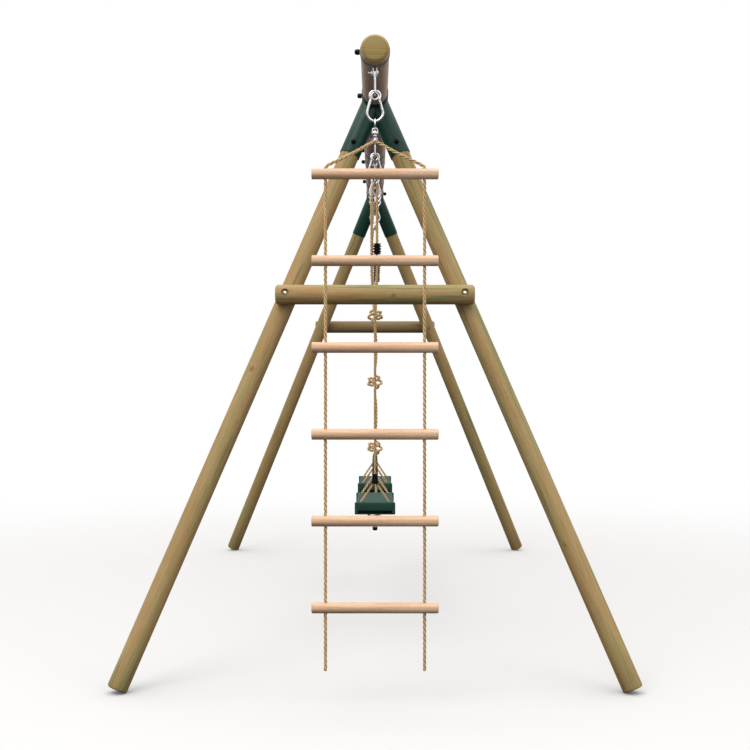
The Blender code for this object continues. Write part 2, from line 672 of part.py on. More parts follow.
def bridle_sleeve(name, parent, low):
    """The black moulded sleeve over the place where the rope parts."""
    bottom = low + SLEEVE_SPAN[0]
    top = low + SLEEVE_SPAN[1]
    bore = SWING_ROPE_RADIUS + 2 * GAP
    outer = 0.0135
    groove = 0.0112
    profile = [(bore, top), (outer, top - 0.001), (outer, top - 0.005), (groove, top - 0.007)]
    profile += [(outer, top - 0.009), (outer, bottom + 0.002), (outer - 0.001, bottom)]
    profile += [(0.0115, bottom), (bore, bottom + 0.014)]
    return place(turned(name, profile, "black", 12, closed=True), parent=parent)


def rope_adjuster(name, parent):
    """The ribbed black slider on the right-hand strand. Its origin is on that strand."""
    bore = SWING_ROPE_RADIUS + 2 * GAP
    ribs = 4
    pitch = 0.010
    half = ribs * pitch / 2
    profile = [(bore, half)]
    for rib in range(ribs):
        top = half - rib * pitch
        profile += [(0.0105, top), (0.0148, top - pitch / 2)]
    profile += [(0.0105, -half), (bore, -half)]
    return place(turned(name, profile, "black", 12, closed=True), parent=parent)


def seat(name, parent, holes):
    """A moulded seat: a hollow tray with deeper sides and a wider flange at each end."""
    tray = block(name, (SEAT_WIDTH, SEAT_LENGTH, SEAT_DEPTH), "green_plastic", (0, 0, -SEAT_DEPTH / 2), 0.007)
    place(tray, parent=parent)
    flange = 0.014
    for end in (-1, 1):
        at = (0, end * (SEAT_LENGTH - flange) / 2, -SEAT_DEPTH / 2)
        rim = block(f"{name}_rim_{end}", (SEAT_END_WIDTH, flange, SEAT_DEPTH), None, at, 0.003, 1)
        join(tray, place(rim, parent=parent))
    inner = (SEAT_WIDTH - 2 * SEAT_WALL, SEAT_LENGTH - 2 * SEAT_WALL, SEAT_DEPTH)
    hollow = block(name + "_hollow", inner, None, (0, 0, -SEAT_WALL - SEAT_DEPTH / 2))
    through = (SEAT_WIDTH - 0.014, SEAT_LENGTH + 0.02, SEAT_DEPTH)
    mouth = block(name + "_mouth", through, None, (0, 0, -SEAT_END_DEPTH - SEAT_DEPTH / 2))
    cut(tray, place(hollow, parent=parent), place(mouth, parent=parent), *holes)
    return tray


def swing(number, beam):
    name = f"swing_{number}"
    y = NEAR_FRAME_Y + SWING_STATIONS[number - 1]
    pivot = empty(name + "_axis", (0, y, PIVOT_HEIGHT))
    ring_z = -RING_DROP - RING_BEND - 0.0005
    seat_z = SEAT_TOP - PIVOT_HEIGHT
    half = SWING_HANGER_SPACING / 2
    lean = math.atan((half - SEAT_HOLE_Y) / (ring_z - seat_z))
    length = (ring_z - seat_z) / math.cos(lean)
    bridle = BRIDLE_APEX / math.cos(lean)
    holes = []
    for side, sign in (("near", -1), ("far", 1)):
        clamp(f"{name}_clamp_{side}", y + sign * half, beam, fixed_link=True)
        hanger = empty(f"{name}_hanger_{side}", (0, sign * half, 0), parent=pivot)
        hook = snap_hook(f"{name}_hook_{side}", hanger, gated=False)
        rope_ring(f"{name}_ring_{side}", hook, hanger)
        line = empty(f"{name}_line_{side}", (0, 0, ring_z), (-sign * lean, 0, 0), hanger)
        swing_rope(f"{name}_rope_{side}", line, (length, 1 / math.cos(lean)), bridle)
        bridle_sleeve(f"{name}_sleeve_{side}", line, -length)
        slide_z = (ADJUSTER_HEIGHT - PIVOT_HEIGHT - ring_z) / math.cos(lean)
        slide = empty(f"{name}_slide_{side}", (STRAND_X[1], 0, slide_z), parent=line)
        rope_adjuster(f"{name}_adjuster_{side}", slide)
        for hand in (-1, 1):
            at = (hand * SEAT_HOLE_X, 0, -length)
            turn = (0, -hand * math.atan(SEAT_HOLE_X / bridle), 0)
            holes.append(hole(f"{name}_hole_{side}_{hand}", SWING_ROPE_RADIUS, 0.02, -0.02, at, turn, line))
    seat_at = empty(name + "_seat_place", (0, 0, seat_z), parent=pivot)
    seat(name + "_seat", seat_at, holes)


def climbing_rope(beam):
    """A knotted rope from its own clamp, link, gated hook and ring."""
    y = NEAR_FRAME_Y + ROPE_STATION
    clamp("climbing_rope_clamp", y, beam, side_screw=False)
    bolt_axis = empty("climbing_rope_link_axis", (0, y, BEAM_HEIGHT - CLAMP_BOLT_DROP))
    hanger_link("climbing_rope_link", bolt_axis)
    swing_axis = empty("climbing_rope_swing_axis", (0, 0, CLAMP_BOLT_DROP - PIVOT_DROP), parent=bolt_axis)
    hook = snap_hook("climbing_rope_hook", swing_axis, gated=True)
    hook_gate("climbing_rope_hook_gate", swing_axis, hook)
    rope_ring("climbing_rope_ring", hook, swing_axis)
    ring_z = -RING_DROP - RING_BEND - 0.0005
    line = empty("climbing_rope_line", (0, 0, ring_z), parent=swing_axis)
    r = CLIMBING_ROPE_RADIUS
    base = PIVOT_HEIGHT + ring_z
    splice = CLIMBING_SPLICE_HEIGHT - base
    profile = [(0, splice + 0.010), (0.008, splice + 0.006), (0.0118, splice - 0.004), (0.010, splice - 0.02)]
    profile += [(r, splice - 0.055), (r, ROPE_CAP_SPAN[0] - base + 0.004), (0, ROPE_CAP_SPAN[0] - base + 0.004)]
    rope = place(turned("climbing_rope", profile, "rope", FINE_SEGMENTS), parent=line)
    loop = strand_loop("climbing_rope_loop", SWING_ROPE_RADIUS, STRAND_X, splice - 0.002)
    join(rope, place(loop, parent=line))
    for number, height in enumerate(KNOT_HEIGHTS):
        knot = ball(f"climbing_rope_knot_{number}", KNOT_HALF_SIZE, (0, 0, height - base))
        join(rope, place(knot, parent=line))
    top = ROPE_CAP_SPAN[1] - base
    low = ROPE_CAP_SPAN[0] - base
    outer = ROPE_CAP_RADIUS
    bore = r + 2 * GAP
    profile = [(bore, top), (outer, top), (outer, low + 0.003), (outer - 0.003, low), (0, low)]
    profile += [(0, low + 0.004 - GAP), (bore, low + 0.004 - GAP)]
    cap = turned("climbing_rope_end_cap", profile, "black", 12, closed=True)
    place(cap, parent=line)


def swing_set():
    beam = top_beam()
    far_frame(*near_frame(beam), beam)
    rope_ladder(beam)
    for number in (1, 2):
        swing(number, beam)
    climbing_rope(beam)


swing_set()
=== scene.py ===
"""The swing set's looks: every piece rebuilt finely round the fixed frame, with procedural materials.

Lengths are in metres. The beam runs along Y, with the rope ladder at its -Y end.
"""

import json
from math import acos, atan, atan2, copysign, cos, degrees, pi, radians, sin, sqrt

import bmesh
import bpy
import numpy as np
from mathutils import Matrix, Vector


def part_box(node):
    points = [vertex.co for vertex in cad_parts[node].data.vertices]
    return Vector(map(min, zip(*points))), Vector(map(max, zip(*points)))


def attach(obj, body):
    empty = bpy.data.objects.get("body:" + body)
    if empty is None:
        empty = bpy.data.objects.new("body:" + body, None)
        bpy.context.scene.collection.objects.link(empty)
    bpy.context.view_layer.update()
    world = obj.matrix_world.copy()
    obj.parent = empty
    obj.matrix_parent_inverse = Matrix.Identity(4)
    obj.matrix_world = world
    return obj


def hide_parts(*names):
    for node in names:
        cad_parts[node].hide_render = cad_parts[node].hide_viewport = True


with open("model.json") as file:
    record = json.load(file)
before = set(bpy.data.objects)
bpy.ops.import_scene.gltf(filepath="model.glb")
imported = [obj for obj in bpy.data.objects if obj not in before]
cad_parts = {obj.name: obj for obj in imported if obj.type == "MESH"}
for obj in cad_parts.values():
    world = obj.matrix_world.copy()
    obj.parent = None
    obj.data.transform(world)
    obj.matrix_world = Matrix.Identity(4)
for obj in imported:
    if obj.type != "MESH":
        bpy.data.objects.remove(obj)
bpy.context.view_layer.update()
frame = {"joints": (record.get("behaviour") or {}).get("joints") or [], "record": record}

# Timbers
POLE_RADIUS = 0.034
POLE_CHAMFER = 0.004
BEAM_CHAMFER = 0.008
BEAM_OVERHANG = 0.014  # the log stands this much further past its first clamp than in the CAD
LEG_START = 0.115  # from the beam's centre line to a leg's hidden upper end
CROSSBAR_CHAMFER = 0.006
SADDLE_GAP = 0.0003
COUNTERBORE_RADIUS = 0.0135
COUNTERBORE_DEPTH = 0.01
COACH_SCREW_LENGTH = 0.104

# Steel
SLEEVE_RADIUS = 0.0475
SLEEVE_LENGTH = 0.16
SOCKET_RADIUS = 0.037
SOCKET_REACH = 0.244
SOCKET_BOLT_REACH = 0.198
WEB_DROP = 0.125
CAP_SCALE = 1.13
CAP_SHIFT = 0.006  # the socket caps stand this much further down the legs than in the CAD
BEAM_CAP_RISE = 0.004
BAND_RADIUS = 0.0473
BAND_WIDTH = 0.028
EAR_OFFSET = 0.0053
EAR_THICKNESS = 0.003
EAR_DROP = 0.0797
SHANK_RADIUS = 0.004

# Links, hooks and rings, measured down from the hook's pivot
LINK_WIRE = 0.0035
LINK_BEND = 0.008
HOOK_WIRE = 0.004
HOOK_TOP_BEND = 0.0165
HOOK_TOP_DROP = 0.004
HOOK_LOW_BEND = 0.025
HOOK_LOW_DROP = 0.057
EYELET_WIRE = 0.0028
EYELET_BEND = 0.0108
EYELET_DROP = 0.0042
HOOK_NECK_ANGLE = radians(35)
GATE_START = 0.0042
GATE_LENGTH = 0.033
RING_WIRE = 0.003
RING_BEND = 0.022
RING_DROP = 0.0981
SWIVEL_WIRE = 0.0025
SWIVEL_RING_BEND = 0.0154
SWIVEL_RING_DROP = 0.0921
YOKE_BEND = 0.0078
YOKE_DROP = 0.1117
YOKE_WIRE = 0.002
COLLAR_TOP_DROP = 0.1165
COLLAR_LOW_DROP = 0.1255
LADDER_EYE_BEND = 0.01
LADDER_EYE_DROP = 0.1445

# Ropes
ROPE_PITCH = 0.05
ROPE_SAMPLE = 0.0018  # the meshed rope's rows
PATH_SAMPLE = 0.003
HOLE_RADIUS = 0.006  # in rungs and seats
LADDER_ROPE_RADIUS = 0.0055
SWING_ROPE_RADIUS = 0.0055
CLIMBING_ROPE_RADIUS = 0.0063
CLIMBING_SPLICE_HEIGHT = 1.462
SLEEVE_SCALE = 1.15
RIB_PITCH = 0.0112  # along a rope adjuster
KNOT_SIZE = (0.0152, 0.008, 0.0072)  # how wide, tall and deep its curve swings
KNOT_SHIFT = 0.005  # how far to the side the climbing rope runs between its knots
LADDER_ROPE_SPREAD = 0.155
LADDER_APEX_DROP = 0.1468
LADDER_SHOULDER_DROP = 0.224
STRAND_X = (-0.014, 0.0085)
SPLICE_DROP = 0.533
BRIDLE_APEX = 0.081  # above the seat
SLEEVE_SPAN = (0.0765, 0.1165)  # above the seat
KNOT_HEIGHTS = (1.314, 1.009, 0.706, 0.397)
KNOT_TURNS = (180.0, 4.0, -6.0, 172.0)  # degrees about the rope
KNOT_TILTS = (14.0, 6.0, 12.0, 0.0)  # degrees
ROPE_CAP_RADIUS = 0.0118
ROPE_CAP_DROP = 0.005  # how far the cap's top stays below the CAD's

# Rungs and seats
RUNG_RADIUS = 0.017
SEAT_WIDTH = 0.155
SEAT_END_WIDTH = 0.166
SEAT_DEPTH = 0.05
SEAT_END_DEPTH = 0.033
SEAT_MOUTH = 0.0122  # height of the slot in each end
SEAT_WALL = 0.004
SEAT_FLANGE = 0.014
SEAT_RECESS = 0.036  # how far the slot in a seat's end runs back
SEAT_RIB = 0.003
SEAT_RIB_HEIGHT = 0.016
SEAT_HOLE_X = 0.0566
SEAT_HOLE_Y = 0.18

# Studio
FLOOR_GAIN = 0.6
FLOOR_BOUNCE = (0.055, 0.053, 0.055)
FLOOR_FADE = (0.8, 5.6)  # from the middle, where the floor starts and ends turning white
FLOOR_SPREAD = 60.0
DOME = [(0.0, (0.36, 0.36, 0.38)), (0.25, (0.6, 0.6, 0.62)), (0.7, (1.55, 1.53, 1.51)), (1.0, (2.0, 1.97, 1.93))]
LIGHTS = {  # place, target, size, power and colour
    "key": ((-2.2, -4.5, 5.2), (0, -0.6, 1.0), 3.0, 110, (1.0, 0.985, 0.96)),
    "fill": ((3.5, -5.0, 2.2), (0, -0.4, 1.0), 2.5, 34, (0.95, 0.97, 1.0)),
    "front": ((0, -6.5, 0.9), (0, 0, 1.0), 2.0, 12, (0.92, 0.95, 1.0)),
}
CAMERA_SPOT = (0, -5.3003, 1.0417)
CAMERA_LENS = 56.0

SIDES = ("near", "far")
HANDS = ("left", "right")
QUARTER = radians(90)
FIT_GAP = 0.0003
BEAM_LOW, BEAM_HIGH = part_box("top_beam")
BEAM_RADIUS = (BEAM_HIGH.x - BEAM_LOW.x) / 2
BEAM_HEIGHT = (BEAM_HIGH.z + BEAM_LOW.z) / 2
JOINTS = {joint["name"]: joint for joint in frame["joints"]}
PIVOT_HEIGHT = JOINTS["swing_1_swing"]["pos_m"][2]
BOLT_HEIGHT = JOINTS["ladder_link_tilt"]["pos_m"][2]
MOUNTS = {mount["name"]: mount for mount in frame["record"]["mounts"]}


# ---- materials


def node(tree, kind, inputs=None, **settings):
    """A shader node. An input is a plain value, or another node's output to link."""
    item = tree.nodes.new("ShaderNode" + kind)
    for key, value in settings.items():
        setattr(item, key, value)
    for key, value in (inputs or {}).items():
        if isinstance(value, bpy.types.NodeSocket):
            tree.links.new(value, item.inputs[key])
        else:
            item.inputs[key].default_value = value
    return item


def math_node(tree, operation, first, second=0.5, third=0.5):
    return node(tree, "Math", {0: first, 1: second, 2: third}, operation=operation).outputs[0]


def scaled(tree, value, gain, shift=0.0):
    return math_node(tree, "MULTIPLY_ADD", value, gain, shift)


def vector_math(tree, operation, first, second=(0, 0, 0)):
    item = node(tree, "VectorMath", {0: first, 1: second}, operation=operation)
    return item.outputs["Value" if operation == "LENGTH" else "Vector"]


def noise(tree, vector, scale, detail=3.0, roughness=0.55, stretch=(1, 1, 1), distortion=0.0):
    """Noise of a size given per metre, drawn out along the axes with a small stretch value."""
    size = tuple(scale * axis for axis in stretch)
    placed = node(tree, "Mapping", {"Vector": vector, "Scale": size}).outputs[0]
    inputs = {"Vector": placed, "Scale": 1.0, "Detail": detail, "Roughness": roughness, "Distortion": distortion}
    return node(tree, "TexNoise", inputs).outputs["Fac"]


def ramp(tree, factor, stops):
    """Colours blended over (position, colour) stops. A plain number is a grey."""
    item = node(tree, "ValToRGB", {"Fac": factor})
    line = item.color_ramp
    while len(line.elements) < len(stops):
        line.elements.new(0.5)
    for element, (position, color) in zip(line.elements, stops):
        element.position = position
        element.color = (*color, 1) if isinstance(color, tuple) else (color, color, color, 1)
    return item.outputs["Color"]


def mix(tree, factor, first, second, blend="MIX"):
    """Two colours blended. Each is an output to link or a plain colour."""
    colors = [(*value, 1) if isinstance(value, tuple) else value for value in (first, second)]
    inputs = {0: factor, 6: colors[0], 7: colors[1]}
    return node(tree, "Mix", inputs, data_type="RGBA", blend_type=blend).outputs[2]


def shaded(tree, strength, color, factor, stops):
    """A colour darkened or tinted by a ramp."""
    return mix(tree, strength, color, ramp(tree, factor, stops), "MULTIPLY")


def surface(name, build, metallic=0.0, specular=0.5):
    """A Principled material. build(tree, object coordinates) gives colour, roughness, height and bump depth."""
    material = bpy.data.materials.new(name)
    material.use_nodes = True
    tree = material.node_tree
    shader = tree.nodes["Principled BSDF"]
    coordinates = node(tree, "TexCoord").outputs["Object"]
    color, roughness, height, depth = build(tree, coordinates)
    bump = node(tree, "Bump", {"Height": height, "Strength": 1.0, "Distance": depth})
    tree.links.new(color, shader.inputs["Base Color"])
    tree.links.new(roughness, shader.inputs["Roughness"])
    tree.links.new(bump.outputs[0], shader.inputs["Normal"])
    shader.inputs["Metallic"].default_value = metallic
    shader.inputs["Specular IOR Level"].default_value = specular
    return material


def knot_field(tree, coordinates, knots):
    """Distance to the nearest knot in knot sizes, from 0 at its centre, for knots of (place, size)."""
    nearest = None
    for place, size in knots:
        offset = vector_math(tree, "SUBTRACT", coordinates, place)
        squeezed = vector_math(tree, "MULTIPLY", offset, (1 / size, 1 / size, 0.7 / size))
        value = vector_math(tree, "LENGTH", squeezed)
        nearest = value if nearest is None else math_node(tree, "MINIMUM", nearest, value)
    return nearest


def streaks(tree, blend, tones):
    green, tan, orange, dark = tones
    stops = [(0.31, dark), (0.41, green), (0.48, tan), (0.53, orange), (0.58, tan), (0.7, dark)]
    return ramp(tree, blend, stops)


def timber(name, seed, knots, tones, under=None):
    """Treated round pine: streaks along local Z, with knots. tones are (green, tan, orange, dark).

    under holds the paler, pinker tones of a lying log's underside, where local Y is up: partly the log's own
    colour, partly painted light from below, with painted shade along its lowest strip.
    """

    def build(tree, coordinates):
        shifted = {"Vector": coordinates, "Location": (seed * 1.7, seed * 2.3, seed)}
        start = node(tree, "Mapping", shifted).outputs[0]
        near_knot = knot_field(tree, coordinates, knots)
        squared = math_node(tree, "POWER", near_knot, 2.0)
        pull = math_node(tree, "DIVIDE", 1.0, math_node(tree, "ADD", 1.0, squared))
        swirl = node(tree, "CombineXYZ", {"X": scaled(tree, pull, 0.016)}).outputs[0]
        bent = vector_math(tree, "ADD", start, swirl)
        broad = noise(tree, bent, 60.0, 2.5, 0.55, (1, 1, 0.03), 0.3)
        streak = noise(tree, bent, 230.0, 3.0, 0.6, (1, 1, 0.022))
        hair = noise(tree, bent, 950.0, 2.0, 0.5, (1, 1, 0.02))
        blotch = noise(tree, start, 5.0, 2.0, 0.5, (1, 1, 0.5))
        blend = scaled(tree, streak, 0.34, scaled(tree, broad, 0.66))
        color = streaks(tree, blend, tones)
        # The underside: its own pinker tones lifted with painted light from below, and painted shade darkening the
        # lowest strip.
        if under:
            level = node(tree, "SeparateXYZ", {0: coordinates}).outputs["Y"]
            level = scaled(tree, level, 0.5 / BEAM_RADIUS, 0.5)
            painted_bottom_shade = [(0.0, 0.7), (0.2, 1.1), (0.4, 1.1)]
            low = shaded(tree, 1.0, streaks(tree, blend, under), level, painted_bottom_shade)
            ragged = scaled(tree, math_node(tree, "SUBTRACT", broad, 0.5), 1.1, level)
            share = ramp(tree, ragged, [(0.34, 1), (0.6, 0)])
            color = mix(tree, share, color, low)
        lines = [(0.3, (0.8, 0.77, 0.72)), (0.52, 1), (0.75, (1.0, 0.98, 0.94))]
        color = shaded(tree, 0.75, color, hair, lines)
        color = shaded(tree, 0.7, color, blotch, [(0.35, (0.9, 0.95, 0.86)), (0.65, (1.0, 0.98, 0.95))])
        core, ring = (tuple(share * part for part in tones[2]) for share in (0.42, 0.75))
        knot_color = ramp(tree, near_knot, [(0.1, core), (0.55, ring), (0.8, core)])
        inside = ramp(tree, near_knot, [(0.3, 0.85), (0.75, 0.6), (1.0, 0)])
        color = mix(tree, inside, color, knot_color)
        return color, scaled(tree, streak, 0.2, 0.52), scaled(tree, hair, 0.4, scaled(tree, streak, 0.6)), 0.0008

    return surface(name, build, specular=0.35)


def end_grain(name, edge):
    """The sawn end of a log: growth rings far from their heart, almost level, and a chamfer from edge out,
    brightened with painted light, with a dark line of painted shade at its inner edge.
    """

    def build(tree, coordinates):
        heart = vector_math(tree, "SUBTRACT", coordinates, (0.02, 0.45, 0.0))
        reach = vector_math(tree, "LENGTH", vector_math(tree, "MULTIPLY", heart, (1, 1, 0)))
        wobble = noise(tree, coordinates, 30.0, 2.0, stretch=(1, 1, 0))
        line = node(tree, "CombineXYZ", {"X": scaled(tree, wobble, 0.004, reach)}).outputs[0]
        bands = noise(tree, line, 120.0, 2.0, 0.6)
        fine = noise(tree, line, 700.0, 1.0, 0.5)
        pores = noise(tree, coordinates, 1800.0, 1.0, 0.5)
        stops = zip((0.38, 0.44, 0.49, 0.54, 0.58, 0.66), (2, 0, 1, 2, 0, 1))
        color = ramp(tree, bands, [(position, END_TONES[tone]) for position, tone in stops])
        middle = vector_math(tree, "LENGTH", vector_math(tree, "MULTIPLY", coordinates, (1, 1, 0)))
        # Painted shade: a dark line at the chamfer's inner edge. Painted light: the chamfer itself brightened.
        chamfer_shade_line_and_light = [(0.47, 1), (0.495, (0.62, 0.58, 0.54)), (0.51, 1.14)]
        color = shaded(tree, 1.0, color, scaled(tree, middle, 0.5 / edge), chamfer_shade_line_and_light)
        color = shaded(tree, 0.6, color, fine, [(0.35, (0.82, 0.79, 0.74)), (0.6, 1)])
        height = math_node(tree, "ADD", scaled(tree, pores, 0.5), fine)
        return color, scaled(tree, pores, 0.15, 0.7), height, 0.0006

    return surface(name, build, specular=0.25)


def rung_wood(tree, coordinates):
    """Turned beech with its grain along local Z: pinkish, with short dark flecks."""
    broad = noise(tree, coordinates, 90.0, 2.0, 0.5, stretch=(1, 1, 0.04), distortion=0.3)
    fleck = noise(tree, coordinates, 1300.0, 2.0, 0.5, stretch=(1, 1, 0.06))
    color = ramp(tree, broad, [(0.32, (0.6, 0.38, 0.23)), (0.5, (0.72, 0.48, 0.31)), (0.7, (0.8, 0.57, 0.38))])
    marks = [(0.3, (0.62, 0.5, 0.42)), (0.42, (0.95, 0.93, 0.9)), (0.6, 1)]
    color = shaded(tree, 0.8, color, fleck, marks)
    roughness = scaled(tree, fleck, 0.15, 0.42)
    height = math_node(tree, "ADD", fleck, scaled(tree, broad, 0.5))
    return color, roughness, height, 0.0003


def powder_coat(tree, coordinates):
    """Dark green paint with a slight orange-peel texture and duller patches."""
    peel = noise(tree, coordinates, 900.0, 2.0, 0.5)
    patch = noise(tree, coordinates, 14.0, 4.0, 0.6)
    color = ramp(tree, patch, [(0.3, (0.005, 0.042, 0.026)), (0.7, (0.009, 0.058, 0.038))])
    specks = noise(tree, coordinates, 2600.0, 1.0)
    dust = ramp(tree, specks, [(0.66, 0), (0.8, 0.25)])
    color = mix(tree, dust, color, (0.1, 0.17, 0.14))
    roughness = scaled(tree, patch, 0.16, 0.32)
    return color, roughness, peel, 0.00035


def zinc_plate(tree, coordinates):
    """Bright zinc plating with soft crystals, a faint warm and blue cast and fine scratches."""
    crystals = {"Vector": coordinates, "Scale": 260.0, "Randomness": 1.0}
    cells = node(tree, "TexVoronoi", crystals).outputs["Color"]
    grey = node(tree, "RGBToBW", {0: cells}).outputs[0]
    cast = noise(tree, coordinates, 40.0, 2.0)
    color = ramp(tree, cast, [(0.35, (0.78, 0.8, 0.84)), (0.65, (0.86, 0.85, 0.82))])
    color = shaded(tree, 0.6, color, grey, [(0.2, 0.9), (0.8, 1)])
    scratch = noise(tree, coordinates, 1500.0, 2.0, stretch=(1, 0.05, 1))
    roughness = scaled(tree, scratch, 0.16, 0.15)
    return color, roughness, scratch, 0.00006


def rolled_zinc(tree, coordinates):
    """Dull zinc on rolled strip: grey, darker than the plating elsewhere, partly its own dull colour and partly
    painted shade, with streaks across the strip.
    """
    cloud = noise(tree, coordinates, 55.0, 3.0)
    # Partly painted shade: the band's grey is kept darker than the zinc plating.
    color = ramp(tree, cloud, [(0.3, (0.3, 0.31, 0.33)), (0.7, (0.42, 0.42, 0.43))])
    roll = noise(tree, coordinates, 900.0, 2.0, stretch=(1, 0.1, 1))
    roughness = scaled(tree, roll, 0.2, 0.34)
    return color, roughness, roll, 0.0001


def black_plastic(tree, coordinates):
    """Matt black moulding, a little duller where it has been rubbed."""
    grain = noise(tree, coordinates, 1600.0, 2.0)
    rub = noise(tree, coordinates, 60.0, 3.0)
    color = ramp(tree, rub, [(0.35, 0.0018), (0.7, (0.005, 0.005, 0.0055))])
    roughness = scaled(tree, rub, 0.25, 0.36)
    return color, roughness, grain, 0.0002


def moulded_green(tree, coordinates):
    """Moulded seat plastic with a fine pebbled grain."""
    pebbles = node(tree, "TexVoronoi", {"Vector": coordinates, "Scale": 700.0}).outputs["Distance"]
    cloud = noise(tree, coordinates, 22.0, 4.0, 0.6)
    color = ramp(tree, cloud, [(0.3, (0.011, 0.054, 0.039)), (0.7, (0.017, 0.07, 0.052))])
    scuff = noise(tree, coordinates, 320.0, 3.0, 0.7, stretch=(1, 0.2, 1))
    marks = ramp(tree, scuff, [(0.62, 0), (0.78, 0.35)])
    color = mix(tree, marks, color, (0.06, 0.15, 0.115))
    roughness = scaled(tree, cloud, 0.2, 0.54)
    return color, roughness, pebbles, 0.0004


def rope_fibre(tree, coordinates):
    """Three-strand rope. Its mesh stores each point's depth in the grooves, where the colour is darkened as painted
    shade, and UVs in metres along a strand.
    """
    depth = node(tree, "Attribute", attribute_name="groove_shade").outputs["Fac"]
    strand = node(tree, "UVMap", uv_map="strand").outputs[0]
    axes = node(tree, "SeparateXYZ", {0: strand}).outputs
    round_it = scaled(tree, axes["Y"], 0.55, axes["X"])
    fibre_at = node(tree, "CombineXYZ", {"X": round_it, "Y": axes["Y"]})
    fibre = noise(tree, fibre_at.outputs[0], 2600.0, 3.0, 0.6, stretch=(1, 0.05, 1))
    yarn = noise(tree, fibre_at.outputs[0], 900.0, 1.0, 0.5, stretch=(1, 0.03, 1))
    patch = noise(tree, coordinates, 18.0, 2.0)
    color = ramp(tree, patch, [(0.3, (0.72, 0.52, 0.285)), (0.7, (0.86, 0.65, 0.38))])
    threads = [(0.3, (0.55, 0.5, 0.42)), (0.5, (0.92, 0.9, 0.86)), (0.7, (1.1, 1.08, 1.0))]
    color = shaded(tree, 0.85, color, fibre, threads)
    # Painted shade: the deeper a point lies in the grooves between strands, the darker it is.
    grooves = [(0.0, 1), (0.55, (0.72, 0.62, 0.5)), (1.0, (0.2, 0.13, 0.075))]
    color = shaded(tree, 1.0, color, depth, grooves)
    height = scaled(tree, yarn, 0.5, fibre)
    roughness = scaled(tree, fibre, 0.15, 0.72)
    return color, roughness, height, 0.0007


POLE_TONES = ((0.285, 0.262, 0.105), (0.42, 0.305, 0.135), (0.4, 0.215, 0.08), (0.19, 0.112, 0.05))
# The far crossbar's tones: the pole tones darkened by about a third, as painted shade.
FAR_BAR_SHADED_TONES = ((0.2, 0.18, 0.08), (0.285, 0.205, 0.095), (0.27, 0.15, 0.06), (0.13, 0.08, 0.04))
# The beam's underside tones: partly its own colour, partly painted light from below.
BEAM_UNDERSIDE_LIT_TONES = ((0.64, 0.495, 0.4), (0.78, 0.6, 0.5), (0.74, 0.52, 0.41), (0.46, 0.325, 0.255))
END_TONES = ((0.27, 0.27, 0.1), (0.4, 0.3, 0.115), (0.37, 0.2, 0.065))
END_GRAIN = end_grain("end_grain", POLE_RADIUS - POLE_CHAMFER)
BEAM_END_GRAIN = end_grain("beam_end_grain", BEAM_RADIUS - BEAM_CHAMFER)
RUNG_WOOD = surface("rung_beech", rung_wood, specular=0.45)
GREEN_STEEL = surface("green_powder_coat", powder_coat, specular=0.35)
ZINC = surface("zinc_plate", zinc_plate, metallic=1.0)
SHADED_STRIP = surface("rolled_zinc", rolled_zinc, metallic=1.0)
BLACK = surface("black_plastic", black_plastic, specular=0.2)
GREEN_PLASTIC = surface("green_plastic", moulded_green, specular=0.25)
ROPE = surface("hemp_rope", rope_fibre, specular=0.15)


# ---- shapes


def merged(*shapes):
    """One shape from several. A shape is its points and its faces."""
    points = []
    faces = []
    for shape_points, shape_faces in shapes:
        start = len(points)
        points += [tuple(point) for point in shape_points]
        faces += [tuple(index + start for index in face) for face in shape_faces]
    return points, faces


def moved(shape, matrix):
    points, faces = shape
    return [tuple(matrix @ Vector(point)) for point in points], faces


def at(x, y, z):
    return Matrix.Translation((x, y, z))


def turn(angle, axis):
    return Matrix.Rotation(angle, 4, axis)


def arc(centre_x, centre_z, radius, start, end, steps, plane="xz"):
    """Points on an arc by degrees, in the XZ or the YZ plane."""
    angles = np.radians(np.linspace(start, end, steps + 1))
    across = centre_x + radius * np.cos(angles)
    up = centre_z + radius * np.sin(angles)
    zero = np.zeros_like(across)
    columns = (across, zero, up) if plane == "xz" else (zero, across, up)
    return [tuple(point) for point in np.column_stack(columns)]


def ring_path(centre_z, radius, plane="xz", steps=40):
    return arc(0, centre_z, radius, 0, 360, steps, plane)[:-1]


def smooth_path(points, step):
    """A rounded path through the points, with samples about a step apart."""
    points = np.array(points, float)
    padded = np.vstack([2 * points[0] - points[1], points, 2 * points[-1] - points[-2]])
    dense = []
    for first, second, third, fourth in zip(padded, padded[1:], padded[2:], padded[3:]):
        share = np.linspace(0, 1, 24, endpoint=False)[:, None]
        chord = np.linalg.norm(third - second)
        leaving = (third - first) * chord / max(np.linalg.norm(third - first), 1e-9)
        arriving = (fourth - second) * chord / max(np.linalg.norm(fourth - second), 1e-9)
        square, cube = share**2, share**3
        curve = (2 * cube - 3 * square + 1) * second + (cube - 2 * square + share) * leaving
        dense.append(curve + (3 * square - 2 * cube) * third + (cube - square) * arriving)
    dense.append(points[-1:])
    return resampled(np.vstack(dense), step)


def resampled(path, step):
    """The same path with even samples."""
    path = np.array(path, float)
    reach = np.concatenate([[0], np.cumsum(np.linalg.norm(np.diff(path, axis=0), axis=1))])
    count = max(2, int(round(reach[-1] / step)) + 1)
    spots = np.linspace(0, reach[-1], count)
    return np.column_stack([np.interp(spots, reach, path[:, axis]) for axis in range(3)])


